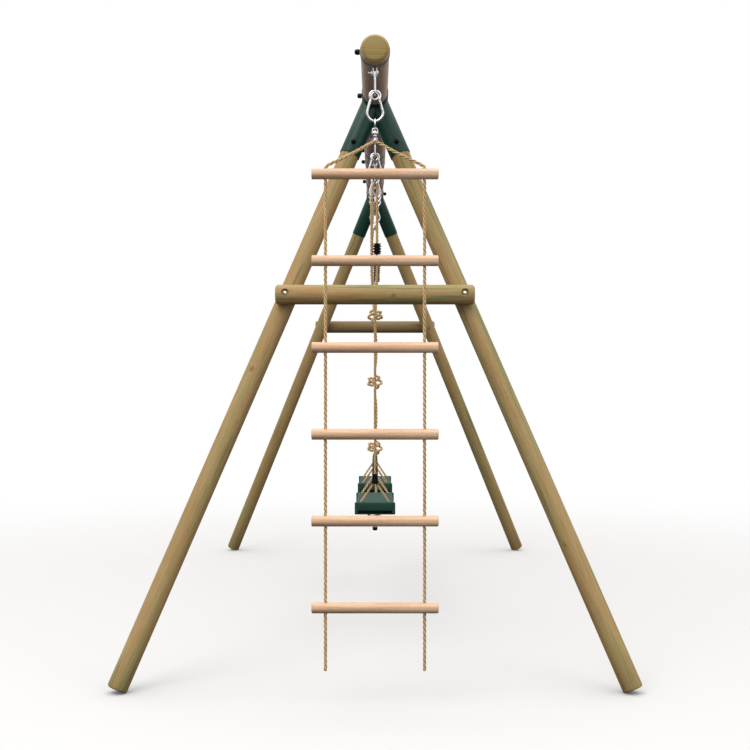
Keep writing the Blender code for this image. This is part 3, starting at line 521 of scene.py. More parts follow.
def frames_along(path, closed=False):
    """Two directions across the path at each point, carried along it without spin."""
    path = np.array(path, float)
    if closed:
        tangents = np.roll(path, -1, axis=0) - np.roll(path, 1, axis=0)
    else:
        tangents = np.gradient(path, axis=0)
    tangents /= np.linalg.norm(tangents, axis=1)[:, None]
    start = Vector(tangents[0]).orthogonal().normalized()
    across = [np.array(start)]
    for tangent in tangents[1:]:
        carried = across[-1] - tangent * (across[-1] @ tangent)
        across.append(carried / np.linalg.norm(carried))
    across = np.array(across)
    return across, np.cross(tangents, across)


def sweep(path, sections, closed=False):
    """A skin over cross-sections: sections is (points along, points round, 2), across the path's own frame."""
    path = np.array(path, float)
    across, side = frames_along(path, closed)
    rings = path[:, None, :] + sections[:, :, :1] * across[:, None, :] + sections[:, :, 1:] * side[:, None, :]
    length, sides = sections.shape[:2]
    points = [tuple(point) for point in rings.reshape(-1, 3)]
    faces = []
    for row in range(length if closed else length - 1):
        here = row * sides
        there = ((row + 1) % length) * sides
        for column in range(sides):
            after = (column + 1) % sides
            faces.append((here + column, here + after, there + after, there + column))
    if not closed:
        faces.append(tuple(reversed(range(sides))))
        faces.append(tuple(range((length - 1) * sides, length * sides)))
    return points, faces


def circle_sections(radii, sides):
    angles = np.linspace(0, 2 * pi, sides, endpoint=False)
    circle = np.column_stack([np.cos(angles), np.sin(angles)])
    return np.array(radii, float)[:, None, None] * circle[None]


def wire(path, radius, closed=False, sides=16):
    """A round bar along a path."""
    path = np.array(path, float)
    return sweep(path, circle_sections(np.full(len(path), radius), sides), closed)


def lathe(profile, sides=48, closed=False):
    """A solid turned about local Z from (radius, height) points that run down its outer side."""
    points = []
    rows = []
    for radius, height in profile:
        if radius < 1e-7:
            rows.append([len(points)] * sides)
            points.append((0.0, 0.0, height))
        else:
            rows.append(list(range(len(points), len(points) + sides)))
            for step in range(sides):
                angle = 2 * pi * step / sides
                points.append((radius * cos(angle), radius * sin(angle), height))
    if closed:
        rows.append(rows[0])
    faces = []
    for upper, lower in zip(rows, rows[1:]):
        for step in range(sides):
            after = (step + 1) % sides
            corners = [upper[step], lower[step], lower[after], upper[after]]
            kept = [corner for place, corner in enumerate(corners) if corner != corners[place - 1]]
            if len(kept) > 2:
                faces.append(tuple(kept))
    return points, faces


def rounded(radius, top, bottom, edge, steps=4, lower=True):
    """The outer side of a turned profile, from top to bottom, with rounded edges."""
    quarter = [pi / 2 * step / steps for step in range(steps + 1)]
    profile = [(radius - edge + edge * sin(angle), top - edge + edge * cos(angle)) for angle in quarter]
    if not lower:
        return profile + [(radius, bottom)]
    return profile + [(radius - edge + edge * cos(angle), bottom + edge - edge * sin(angle)) for angle in quarter]


def rod(radius, half, sides):
    """A plain cylinder about local Z, half as long on each side of 0."""
    return lathe([(0, half), (radius, half), (radius, -half), (0, -half)], sides)


def slab(size, edge, centre=(0, 0, 0), steps=3):
    """A box with rounded edges."""
    shape = bmesh.new()
    bmesh.ops.create_cube(shape, size=1)
    bmesh.ops.scale(shape, vec=size, verts=shape.verts)
    if edge:
        bmesh.ops.bevel(shape, geom=shape.edges[:], offset=edge, segments=steps, profile=0.5, affect="EDGES")
    bmesh.ops.translate(shape, vec=centre, verts=shape.verts)
    shape.verts.index_update()
    points = [tuple(vertex.co) for vertex in shape.verts]
    faces = [tuple(vertex.index for vertex in face.verts) for face in shape.faces]
    shape.free()
    return points, faces


# ---- pieces


def smooth(mesh, sharp=35):
    mesh.shade_smooth()
    mesh.set_sharp_from_angle(angle=radians(sharp))


def mesh_object(name, shape, material=None, matrix=None, sharp=35):
    mesh = bpy.data.meshes.new(name)
    mesh.from_pydata(shape[0], [], shape[1])
    if material:
        mesh.materials.append(material)
    obj = bpy.data.objects.new(name, mesh)
    bpy.context.scene.collection.objects.link(obj)
    obj.matrix_world = matrix or Matrix.Identity(4)
    smooth(mesh, sharp)
    return obj


def centre_of(node_name):
    low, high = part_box(node_name)
    return (low + high) / 2


def apply_modifiers(obj):
    bpy.context.view_layer.update()
    graph = bpy.context.evaluated_depsgraph_get()
    mesh = bpy.data.meshes.new_from_object(obj.evaluated_get(graph))
    obj.modifiers.clear()
    obj.data = mesh


def carve(obj, cutters, operation="DIFFERENCE"):
    for shape, matrix in cutters:
        helper = mesh_object(obj.name + "_tool", shape, None, matrix)
        step = obj.modifiers.new("carve", "BOOLEAN")
        step.operation = operation
        step.object = helper
        apply_modifiers(obj)
        bpy.data.objects.remove(helper)


def soften(obj, width):
    """Rounds the hard edges that cutting leaves."""
    edge = obj.modifiers.new("edge", "BEVEL")
    edge.width = width
    edge.segments = 2
    edge.limit_method = "ANGLE"
    edge.angle_limit = radians(35)
    apply_modifiers(obj)
    smooth(obj.data, 30)


def finished(obj, body, slot, *nodes):
    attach(obj, body)
    if nodes:
        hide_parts(*nodes)


def paint_ends(obj, grain, level=0.9):
    """Gives the faces that look along local Z the end-grain material."""
    obj.data.materials.append(grain)
    for face in obj.data.polygons:
        if abs(face.normal.z) > level:
            face.material_index = 1


# ---- timbers


def pole_shape(radius, length, chamfer, sides=72):
    """A log along local Z from 0 down to its length, with softened chamfers at both ends."""
    soft = chamfer * 0.18
    profile = [(0, 0), (radius - chamfer - soft, 0), (radius - chamfer, -soft * 0.4)]
    profile += [(radius - soft * 0.4, -chamfer), (radius, -chamfer - soft)]
    rows = max(2, int(length / 0.12))
    for row in range(1, rows):
        profile.append((radius, -chamfer - soft - (length - 2 * (chamfer + soft)) * row / rows))
    profile += [(radius, -length + chamfer + soft), (radius - soft * 0.4, -length + chamfer)]
    profile += [(radius - chamfer, -length + soft * 0.4), (radius - chamfer - soft, -length), (0, -length)]
    return lathe(profile, sides)


def beam():
    length = BEAM_HIGH.y - BEAM_LOW.y + BEAM_OVERHANG
    matrix = at(0, BEAM_LOW.y - BEAM_OVERHANG, BEAM_HEIGHT) @ turn(QUARTER, "X")
    knots = (((0.028, -0.035, -0.9), 0.011), ((-0.042, 0.014, -1.9), 0.014), ((0.02, 0.04, -2.5), 0.012))
    wood = timber("beam_timber", 3.1, knots, POLE_TONES, BEAM_UNDERSIDE_LIT_TONES)
    log = mesh_object("top_beam_log", pole_shape(BEAM_RADIUS, length, BEAM_CHAMFER, 96), wood, matrix)
    paint_ends(log, BEAM_END_GRAIN, 0.5)
    finished(log, "frame", "timber", "top_beam")


class AFrame:
    """Where an A-frame's parts are, from the mounts under its feet."""

    def __init__(self, side):
        self.up = {}
        for hand in HANDS:
            mount = MOUNTS[f"{side}_{hand}_foot"]
            self.up[hand] = -Vector(mount["axis"]).normalized()
        foot = Vector(MOUNTS[f"{side}_left_foot"]["pos_m"])
        self.reach = -foot.x / self.up["left"].x
        self.apex = foot + self.up["left"] * self.reach
        self.mean_up = (self.up["left"] + self.up["right"]).normalized()
        self.away = -1 if side == "near" else 1
        across = self.up["left"].cross(self.up["right"]).normalized()
        self.facing = across if across.y * self.away > 0 else -across

    def over_leg(self, hand, centre):
        """Where the centre line of a crossbar passes over a leg."""
        drop = (self.apex - centre).dot(self.mean_up)
        on_leg = self.apex - self.up[hand] * (drop / self.up[hand].dot(self.mean_up))
        return Vector((on_leg.x, centre.y, centre.z))

    def leg_line(self, spot):
        """The point beside a spot that lies in the plane of the legs' centre lines."""
        return spot - self.facing * (spot - self.apex).dot(self.facing)


def axis_matrix(origin, along, hint):
    """A frame with its Z along a direction and its Y as near the hint as that allows."""
    z = along.normalized()
    x = hint.cross(z).normalized()
    y = z.cross(x)
    matrix = Matrix((x, y, z)).transposed().to_4x4()
    matrix.translation = origin
    return matrix


FRAMES = {side: AFrame(side) for side in SIDES}
LEG_SEEDS = {"near_left": 1.3, "near_right": 7.9, "far_left": 4.4, "far_right": 11.2}
LEG_KNOTS = {
    "near_left": (((-0.012, -0.032, -0.985), 0.01), ((0.03, 0.016, -0.4), 0.008)),
    "near_right": (((0.03, 0.016, -1.5), 0.009), ((-0.02, -0.0275, -1.62), 0.007)),
    "far_left": (((0.0, -0.034, -0.7), 0.009),),
    "far_right": (((0.01, 0.0325, -1.2), 0.01),),
}


def leg(side, hand):
    shape = FRAMES[side]
    matrix = axis_matrix(shape.apex - shape.up[hand] * LEG_START, shape.up[hand], Vector((0, 1, 0)))
    name = f"{side}_{hand}"
    wood = timber(name + "_timber", LEG_SEEDS[name], LEG_KNOTS[name], POLE_TONES)
    pole = pole_shape(POLE_RADIUS, shape.reach - LEG_START, POLE_CHAMFER)
    log = mesh_object(name + "_leg_log", pole, wood, matrix)
    paint_ends(log, END_GRAIN)
    finished(log, "frame", "timber", name + "_leg")


BAR_WOODS = {
    "near": (2.6, (((0.004, -0.0338, -0.28), 0.0065),), POLE_TONES),
    # The far crossbar's darker tones are painted shade.
    "far": (9.4, (((0.0, 0.034, -0.4), 0.008),), FAR_BAR_SHADED_TONES),
}


def crossbar(side):
    """The crossbar, hollowed where it sits on the legs and counterbored for its screws."""
    shape = FRAMES[side]
    low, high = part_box(side + "_crossbar")
    centre = (low + high) / 2
    matrix = at(high.x, centre.y, centre.z) @ turn(QUARTER, "Y")
    wood = timber(side + "_crossbar_timber", *BAR_WOODS[side])
    pole = pole_shape(POLE_RADIUS, high.x - low.x, CROSSBAR_CHAMFER)
    bar = mesh_object(side + "_crossbar_log", pole, wood, matrix)
    bore = lathe([(0, 0.03), (COUNTERBORE_RADIUS, 0.03), (COUNTERBORE_RADIUS, 0), (0, 0)], 48)
    cutters = []
    for hand in HANDS:
        spot = shape.over_leg(hand, centre)
        saddle = axis_matrix(shape.leg_line(spot), shape.up[hand], shape.facing)
        cutters.append((rod(POLE_RADIUS + SADDLE_GAP, 0.3, 72), saddle))
        bottom = spot + shape.facing * (POLE_RADIUS - COUNTERBORE_DEPTH)
        cutters.append((bore, axis_matrix(bottom, shape.facing, Vector((0, 0, 1)))))
    carve(bar, cutters)
    smooth(bar.data)
    paint_ends(bar, END_GRAIN)
    finished(bar, "frame", "timber", side + "_crossbar")


# ---- brackets and bolts


def socket_weld(matrix):
    """The bead where a socket meets the sleeve: points on both round surfaces."""
    apex = matrix.translation
    slope = matrix.col[2].to_3d()
    points = []
    for step in range(72):
        angle = 2 * pi * step / 72
        start = matrix @ Vector((SOCKET_RADIUS * cos(angle), SOCKET_RADIUS * sin(angle), 0))
        offset = start - apex
        a = slope.x**2 + slope.z**2
        b = 2 * (offset.x * slope.x + offset.z * slope.z)
        c = offset.x**2 + offset.z**2 - SLEEVE_RADIUS**2
        points.append(start + slope * ((-b + sqrt(max(b * b - 4 * a * c, 0))) / (2 * a)))
    return points


def bracket(side):
    """Sleeve, two sockets and the web below, with weld beads."""
    shape = FRAMES[side]
    half = SLEEVE_LENGTH / 2
    along = at(*shape.apex) @ turn(QUARTER, "X")
    shell = [(0, half)] + rounded(SLEEVE_RADIUS, half, -half, 0.0008, 2) + [(0, -half)]
    obj = mesh_object(side + "_bracket_steel", lathe(shell, 96), GREEN_STEEL, along)
    socket = rounded(SOCKET_RADIUS, SOCKET_REACH, 0.02, 0.0008, 2, lower=False)
    socket = lathe([(0, SOCKET_REACH)] + socket + [(0, 0.02)], 84)
    inner = POLE_RADIUS + FIT_GAP
    start = LEG_START - FIT_GAP
    bore = lathe([(0, 0.3), (inner, 0.3), (inner, start), (0, start)], 84)
    places = [axis_matrix(shape.apex, -shape.up[hand], Vector((0, 1, 0))) for hand in HANDS]
    web_height = WEB_DROP - SLEEVE_RADIUS
    web = slab((0.03, 0.006, web_height), 0.0008, (0, 0, -WEB_DROP + web_height / 2))
    web_place = axis_matrix(shape.apex, shape.mean_up, shape.facing)
    carve(obj, [(socket, place) for place in places] + [(web, web_place)], "UNION")
    carve(obj, [(bore, place) for place in places] + [(rod(BEAM_RADIUS + FIT_GAP, 0.1, 96), along)])
    smooth(obj.data)
    finished(obj, "frame", "green_steel", side + "_bracket")
    beads = []
    for place in places:
        points = socket_weld(place)
        ripple = 0.0019 + 0.0003 * np.sin(np.arange(len(points)) * 2.6)
        beads.append(sweep(points, circle_sections(ripple, 8), closed=True))
    bead = mesh_object(side + "_bracket_weld", merged(*beads), GREEN_STEEL, sharp=80)
    finished(bead, "frame", "green_steel")


def cap_shape():
    """A black domed screw cap on its washer, standing on height 0."""
    dome = [(0, 0.015), (0.003, 0.0147), (0.0055, 0.0136), (0.007, 0.0117), (0.0077, 0.009)]
    rim = [(0.008, 0.0062), (0.008, 0.003), (0.0071, 0.0024), (0.0074, 0.0018), (0.0072, 0.0003)]
    profile = dome + rim + [(0, 0.0003)]
    return lathe([(radius * CAP_SCALE, height * CAP_SCALE) for radius, height in profile], 40)


def cap(name, spot, outward, *nodes):
    obj = mesh_object(name, cap_shape(), BLACK, axis_matrix(spot, outward, Vector((0.1, 0.2, 1))))
    finished(obj, "frame", "black_plastic", *nodes)


def bracket_caps(side):
    shape = FRAMES[side]
    for hand in HANDS:
        spot = shape.apex - shape.up[hand] * (SOCKET_BOLT_REACH + CAP_SHIFT) + shape.facing * SOCKET_RADIUS
        cap(f"{side}_{hand}_socket_cap", spot, shape.facing, f"{side}_{hand}_socket_bolt")
    sideways = Vector((shape.away, 0, 0))
    spot = shape.apex + sideways * SLEEVE_RADIUS + Vector((0, 0, BEAM_CAP_RISE))
    cap(side + "_beam_cap", spot, sideways, side + "_beam_bolt")


def crossbar_screws(side):
    shape = FRAMES[side]
    head = [(0, 0.0056), (0.0022, 0.0054), (0.0045, 0.0047), (0.0065, 0.0034), (0.0078, 0.0014), (0.008, 0.0004)]
    end = -COACH_SCREW_LENGTH
    shank = [(0.008, 0.0), (SHANK_RADIUS, 0.0), (SHANK_RADIUS, end + 0.006), (0.0008, end), (0, end)]
    for hand in HANDS:
        spot = shape.over_leg(hand, centre_of(side + "_crossbar"))
        spot += shape.facing * (POLE_RADIUS - COUNTERBORE_DEPTH)
        matrix = axis_matrix(spot, shape.facing, Vector((0, 0, 1)))
        obj = mesh_object(f"{side}_{hand}_crossbar_coach_screw", lathe(head + shank, 40), ZINC, matrix)
        finished(obj, "frame", "zinc_steel", f"{side}_{hand}_crossbar_bolt")


# ---- hangers


def hanging_link():
    """The long link below a clamp, from the cross bolt at height 0 to the hook's pivot."""
    path = arc(0, 0, LINK_BEND, 0, 180, 14, "yz")
    path += arc(0, PIVOT_HEIGHT - BOLT_HEIGHT + LINK_BEND, LINK_BEND, 180, 360, 14, "yz")
    return wire(path, LINK_WIRE, True)


def strap_clamp(node_name, fixed_link, side_cap):
    """The strap round the beam: band, two ears, cross bolt, nut and washer. A fixed link is part of it."""
    y = centre_of(node_name).y
    half = BAND_WIDTH / 2
    inner = BEAM_RADIUS + 0.0002
    edge = 0.0007
    outer = rounded(BAND_RADIUS, half, -half, edge, 3)
    band = lathe([(inner, half - edge)] + outer + [(inner, -half + edge)], 96, True)
    shapes = [moved(band, at(0, y, BEAM_HEIGHT) @ turn(QUARTER, "X"))]
    ear_top = BEAM_HEIGHT - BEAM_RADIUS - 0.0005
    ear_height = ear_top - (BEAM_HEIGHT - EAR_DROP)
    plate = slab((EAR_THICKNESS, BAND_WIDTH, ear_height), 0.0007, steps=2)
    for sign in (-1, 1):
        shapes.append(moved(plate, at(sign * EAR_OFFSET, y, ear_top - ear_height / 2)))
    r = SHANK_RADIUS
    head = [(0, 0.0115), (0.003, 0.0113), (0.006, 0.0105), (0.0085, 0.0088), (0.0098, 0.007), (0.01, 0.0066)]
    bolt = lathe(head + [(r, 0.0066), (r, -0.0213), (r - 0.0008, -0.022), (0, -0.022)], 32)
    flats = [(0.0072, -0.0078), (0.0078, -0.0086), (0.0078, -0.0128), (0.007, -0.0136)]
    nut = lathe([(r, -0.0078)] + flats + [(r, -0.0136)], 6, True)
    washer = lathe([(r, -0.0067), (0.0092, -0.0067), (0.0092, -0.0078), (r, -0.0078)], 32, True)
    turned = [bolt, nut, washer]
    if fixed_link:
        turned.append(lathe([(r, 0.0037), (0.0054, 0.0037), (0.0054, -0.0037), (r, -0.0037)], 28, True))
    shapes += [moved(shape, at(0, y, BOLT_HEIGHT) @ turn(QUARTER, "Y")) for shape in turned]
    if fixed_link:
        shapes.append(moved(hanging_link(), at(0, y, BOLT_HEIGHT)))
    obj = mesh_object(node_name + "_strap", merged(*shapes), ZINC, sharp=40)
    obj.data.materials.append(SHADED_STRIP)
    for face in obj.data.polygons[: len(band[1])]:
        face.material_index = 1
    finished(obj, "frame", "zinc_steel", node_name)
    if side_cap:
        cap(node_name + "_cap", Vector((-BAND_RADIUS, y, BEAM_HEIGHT)), Vector((-1, 0, 0)))


def free_link(name):
    place = at(0, centre_of(name).y, BOLT_HEIGHT)
    finished(mesh_object(name + "_wire", hanging_link(), ZINC, place, 60), name, "zinc_steel", name)


def hook_side():
    """The hook's straight right side: its top point, its direction down, its slope and the gate's rivet."""
    neck = Vector((cos(HOOK_NECK_ANGLE), 0, -sin(HOOK_NECK_ANGLE)))
    top = Vector((0, 0, -HOOK_TOP_DROP)) + HOOK_TOP_BEND * neck
    low_centre = Vector((0, 0, -HOOK_LOW_DROP))
    to_neck = top - low_centre
    slope = atan2(to_neck.z, to_neck.x) - acos(HOOK_LOW_BEND / to_neck.length)
    bottom = low_centre + HOOK_LOW_BEND * Vector((cos(slope), 0, sin(slope)))
    down = (bottom - top).normalized()
    return top, down, slope, top + down * (GATE_START + HOOK_WIRE + FIT_GAP)


def gate_shape():
    """The gate along local Z below its rivet: a rod with a slotted head, and the rivet through it."""
    length = GATE_LENGTH - HOOK_WIRE - 0.0009
    r = HOOK_WIRE
    neck = r * 0.92
    stem = [(0, r), (r * 0.5, r * 0.866), (r * 0.866, r * 0.5), (r, 0), (r, -0.006), (neck, -0.0075)]
    stem += [(neck, -length + 0.005), (r, -length + 0.0035), (r, -length + 0.0006), (r - 0.0006, -length)]
    head = [(0, 0.0049), (0.0017, 0.0045), (0.0019, 0.0038)]
    rivet = lathe(head + [(radius, -height) for radius, height in reversed(head)], 20)
    return lathe(stem + [(0, -length)], 28), moved(rivet, turn(QUARTER, "X"))


def snap_hook_shapes(gated):
    """The pear-shaped body and its captive eyelet. A gated one is open where its own gate piece closes it."""
    top, down, slope, pivot = hook_side()
    lean = degrees(slope)
    neck = degrees(HOOK_NECK_ANGLE)
    mirror = Vector((-1, 1, 1))
    outline = [tuple(top + down * share) for share in (0.0042, 0.0028, 0.0014)]
    outline += arc(0, -HOOK_TOP_DROP, HOOK_TOP_BEND, -neck + 9, 180 + neck - 9, 26)
    outline += [tuple((top + down * share) * mirror) for share in (0.002, 0.0045, 0.012, 0.024, 0.033)]
    outline += arc(0, -HOOK_LOW_DROP, HOOK_LOW_BEND, 180 - lean + 5, 360 + lean, 36)
    outline.append(tuple(top + down * (GATE_START + GATE_LENGTH)))
    body = wire(outline, HOOK_WIRE, sides=20)
    eyelet = wire(ring_path(-EYELET_DROP, EYELET_BEND), EYELET_WIRE, True)
    tongue = slab((0.0056, 0.0028, 0.0088), 0.0006, (0, 0, 0.0014), 2)
    hinged = (tongue,) if gated else (tongue, *gate_shape())
    return [body, eyelet] + [moved(part, at(*pivot) @ turn(-slope, "Y")) for part in hinged]


def snap_hook(node_name, body, y, gated, swivel=False):
    shapes = snap_hook_shapes(gated)
    if swivel:
        shapes += swivel_shapes()
    else:
        shapes.append(wire(ring_path(-RING_DROP, RING_BEND, "yz"), RING_WIRE, True))
    obj = mesh_object(node_name + "_steel", merged(*shapes), ZINC, at(0, y, PIVOT_HEIGHT), 40)
    finished(obj, body, "zinc_steel", node_name)


def hook_gate(node_name, body, y):
    """The gate's head is slotted for the hook's tongue."""
    _, _, slope, pivot = hook_side()
    matrix = at(pivot.x, y, PIVOT_HEIGHT + pivot.z) @ turn(-slope, "Y")
    stem, rivet = gate_shape()
    obj = mesh_object(node_name + "_rod", stem, ZINC, matrix)
    carve(obj, [(slab((0.012, 0.0034, 0.01), 0), matrix)])
    carve(obj, [(rivet, matrix)], "UNION")
    smooth(obj.data)
    finished(obj, body, "zinc_steel", node_name)


def swivel_shapes():
    """The ring, yoke and collar that hang in the ladder's hook."""
    ring = wire(ring_path(-SWIVEL_RING_DROP, SWIVEL_RING_BEND, "yz"), SWIVEL_WIRE, True)
    high, low = -COLLAR_TOP_DROP, -COLLAR_LOW_DROP
    bow = [(YOKE_BEND, 0, high - 0.003)] + arc(0, -YOKE_DROP, YOKE_BEND, 0, 180, 20)
    yoke = wire(bow + [(-YOKE_BEND, 0, high - 0.003)], YOKE_WIRE)
    collar = [(0.0034, high), (0.008, high), (0.0097, high - 0.0007), (0.0103, high - 0.002)]
    collar += [(0.0103, low + 0.002), (0.0093, low + 0.0006), (0.0075, low), (0.0034, low)]
    return [ring, yoke, lathe(collar, 48, True)]


def swivel_eye(y):
    head = -COLLAR_TOP_DROP + 0.0003
    low = -COLLAR_LOW_DROP - 0.0003
    profile = [(0, head + 0.004), (0.0022, head + 0.0038), (0.0038, head + 0.003), (0.0045, head + 0.0012)]
    profile += [(0.0045, head), (0.003, head), (0.003, low), (0.0055, low), (0.006, low - 0.001)]
    profile += [(0.006, low - 0.0042), (0.005, low - 0.007), (0.0036, low - 0.009), (0, low - 0.009)]
    eye = wire(ring_path(-LADDER_EYE_DROP, LADDER_EYE_BEND, "yz"), YOKE_WIRE, True)
    obj = mesh_object("ladder_swivel_eye_steel", merged(lathe(profile, 36), eye), ZINC, at(0, y, PIVOT_HEIGHT), 40)
    finished(obj, "ladder", "zinc_steel", "ladder_swivel_eye")


# ---- ropes


def strand_section(sides_per_lobe):
    """The outline of three strands laid together, 1 in radius, and each point's depth in the grooves."""
    lobe = 1 / (1 + 2 / sqrt(3)) * 1.02
    centre = 1 - lobe
    offset = (np.arange(3 * sides_per_lobe) % sides_per_lobe) / sides_per_lobe * 2 * pi / 3 - pi / 3
    radii = centre * np.cos(offset) + np.sqrt(np.maximum(lobe**2 - (centre * np.sin(offset)) ** 2, 0))
    return radii, (radii.max() - radii) / (radii.max() - radii.min())


def laid_rope(path, radius, sides_per_lobe=7, start_turn=0.0):
    """Points, faces, groove depths and UVs of a twisted rope along a path. Its ends close in a low dome."""
    path = resampled(path, ROPE_SAMPLE)
    spacing = np.linalg.norm(np.diff(path, axis=0), axis=1).mean()
    radii, depth = strand_section(sides_per_lobe)
    sides = len(radii)
    along = np.arange(len(path)) * spacing
    swell = np.ones(len(path))
    swell[0] = swell[-1] = 0.55
    swell[1] = swell[-2] = 0.9
    spin = start_turn - 2 * pi * along / ROPE_PITCH
    turned = np.linspace(0, 2 * pi, sides, endpoint=False)[None, :] + spin[:, None]
    size = radius * radii[None, :] * swell[:, None]
    points, faces = sweep(path, np.stack([size * np.cos(turned), size * np.sin(turned)], axis=2))
    width = 2 * pi * radius / sides
    uvs = []
    for low, high in zip(along, along[1:]):
        for left in width * np.arange(sides):
            uvs += [(left, low), (left + width, low), (left + width, high), (left, high)]
    uvs += [(0, 0)] * (2 * sides)
    return points, faces, np.tile(depth, len(path)), uvs


def plain_rope(shape, depth):
    """A turned or solid shape to be joined with laid rope, given one depth all over, which the rope material turns
    into painted shade.
    """
    points, faces = shape
    corners = [points[index] for face in faces for index in face]
    uvs = [(atan2(y, x) * 0.006, z) for x, y, z in corners]
    return points, faces, np.full(len(points), depth), uvs


def rope_object(name, strands, matrix=None):
    """One piece from several rope strands, with the grooves' depths that the rope material paints as shade, and the
    UV data it reads.
    """
    points, faces = merged(*[(strand[0], strand[1]) for strand in strands])
    obj = mesh_object(name, (points, faces), ROPE, matrix, 70)
    groove_shade = obj.data.attributes.new("groove_shade", "FLOAT", "POINT")
    groove_shade.data.foreach_set("value", np.concatenate([strand[2] for strand in strands]).astype(np.float32))
    layer = obj.data.uv_layers.new(name="strand")
    layer.data.foreach_set("uv", np.array([uv for strand in strands for uv in strand[3]], np.float32).ravel())
    return obj


def ladder_rope(y):
    spread = LADDER_ROPE_SPREAD
    apex = -LADDER_APEX_DROP
    shoulder = -LADDER_SHOULDER_DROP
    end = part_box("ladder_rope")[0].z - PIVOT_HEIGHT
    half = [(0.006, 0, apex - 0.0012), (0.02, 0, apex - 0.0085), (0.07, 0, apex - 0.036)]
    half += [(0.115, 0, apex - 0.0575), (spread - 0.01, 0, shoulder + 0.0052)]
    half += [(spread - 0.002, 0, shoulder - 0.001)]
    half += [(spread, 0, shoulder - 0.01), (spread, 0, shoulder - 0.05), (spread, 0, end)]
    points = [(-x, 0, z) for x, _, z in reversed(half)] + [(0, 0, apex)] + half
    rope = laid_rope(smooth_path(points, PATH_SAMPLE), LADDER_ROPE_RADIUS)
    obj = rope_object("ladder_rope_laid", [rope], at(0, y, PIVOT_HEIGHT))
    finished(obj, "ladder", "rope", "ladder_rope")


def ladder_rung(number):
    name = f"ladder_rung_{number}"
    low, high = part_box(name)
    centre = (low + high) / 2
    half = (high.x - low.x) / 2
    profile = [(0, half)] + rounded(RUNG_RADIUS, half, -half, 0.0035, 5) + [(0, -half)]
    obj = mesh_object(name + "_beech", lathe(profile, 64), RUNG_WOOD, at(*centre) @ turn(QUARTER, "Y"))
    hole = rod(HOLE_RADIUS, 0.03, 32)
    spots = [Vector((centre.x + sign * LADDER_ROPE_SPREAD, centre.y, centre.z)) for sign in (-1, 1)]
    carve(obj, [(hole, at(*spot)) for spot in spots])
    smooth(obj.data, 40)
    finished(obj, "ladder", "rung_wood", name)


def whipping(top, bottom, radius, cord=0.0011):
    """Thin cord wound round a splice."""
    turns = (top - bottom) / (cord * 2.05)
    angles = np.linspace(0, 2 * pi * turns, int(turns * 20))
    heights = np.linspace(top, bottom, len(angles))
    path = np.column_stack([radius * np.cos(angles), radius * np.sin(angles), heights])
    return plain_rope(wire(path, cord, sides=8), 0.25)


def stopper(centre, radius):
    """A tight stopper knot as two wraps of the strand, one over another."""
    shapes = []
    for wrap, (drop, size) in enumerate(((0.0025, 0.004), (-0.004, 0.0044))):
        height = drop * (1 + 0.15 * sin(2 * wrap))
        ring = [tuple(np.add((x, z, height), centre)) for x, _, z in arc(0, 0, size, 0, 360, 24)[:-1]]
        shapes.append(wire(ring, radius * 0.72, True, 12))
    return plain_rope(merged(*shapes), 0.15)


def doubled_strands(splice, radius):
    """Rope from a splice up over the ring's lower wire, which is at height 0, and down to the splice again."""
    bend = radius + RING_WIRE + 0.0015
    left, right = STRAND_X
    loop = [(-0.0012, 0, splice - 0.045), (left * 0.3, 0, splice - 0.012), (left * 0.62, 0, splice + 0.018)]
    loop += [(left * 0.93, 0, splice + 0.055), (left, 0, splice + 0.09), (left, 0, -0.1), (left * 0.97, 0, -0.05)]
    loop += [(-bend * 1.02, 0, -0.014)] + arc(0, 0, bend, 180, 0, 8)
    loop += [(bend * 0.96, 0, -0.02), (right, 0, -0.05), (right, 0, -0.12), (right, 0, splice + 0.07)]
    loop += [(right * 0.92, 0, splice + 0.045), (0.0055, 0, splice + 0.012), (0.0042, 0, splice - 0.02)]
    return laid_rope(smooth_path(loop, PATH_SAMPLE), radius, 6)


def swing_rope(number, side):
    """The doubled rope over the ring, its splice, the single rope and the two strands to the seat."""
    line, length, bridle = swing_line(number, side)
    r = SWING_ROPE_RADIUS
    splice = line_height(line, PIVOT_HEIGHT - SPLICE_DROP)
    apex = bridle - length
    single = resampled([(0, 0, splice + 0.004), (0, 0, apex + 0.001)], PATH_SAMPLE)
    strands = [doubled_strands(splice, r), laid_rope(single, r, 6, start_turn=1.1)]
    strands.append(whipping(splice + 0.004, splice - 0.024, 0.0088))
    strands.append(whipping(splice - 0.06, splice - 0.072, 0.006, 0.0009))
    under = 0.01
    reach = SEAT_HOLE_X + under * SEAT_HOLE_X / bridle
    for hand in (-1, 1):
        foot = (hand * reach, 0, -length - under)
        strand = resampled([(hand * 0.0006, 0, apex + 0.002), foot], PATH_SAMPLE)
        strands.append(laid_rope(strand, r * 0.94, 6, start_turn=hand))
        strands.append(stopper((foot[0], 0, foot[2] - 0.003), r))
    name = f"swing_{number}_rope_{side}"
    finished(rope_object(name + "_laid", strands, line), f"swing_{number}", "rope", name)


def swing_line(number, side):
    """A swing line's frame, with its origin on the ring's lower wire, its length and the bridle's height."""
    sign = -1 if side == "near" else 1
    y = centre_of(f"swing_{number}_hook_{side}").y
    seat_low, seat_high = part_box(f"swing_{number}_seat")
    start = PIVOT_HEIGHT - RING_DROP - RING_BEND
    drop = start - seat_high.z
    lean = atan((abs(y - (seat_low.y + seat_high.y) / 2) - SEAT_HOLE_Y) / drop)
    return at(0, y, start) @ turn(-sign * lean, "X"), drop / cos(lean), BRIDLE_APEX / cos(lean)


def line_height(line, height):
    """A world height as a height along a swing line."""
    return (height - line.translation.z) / line.col[2].z


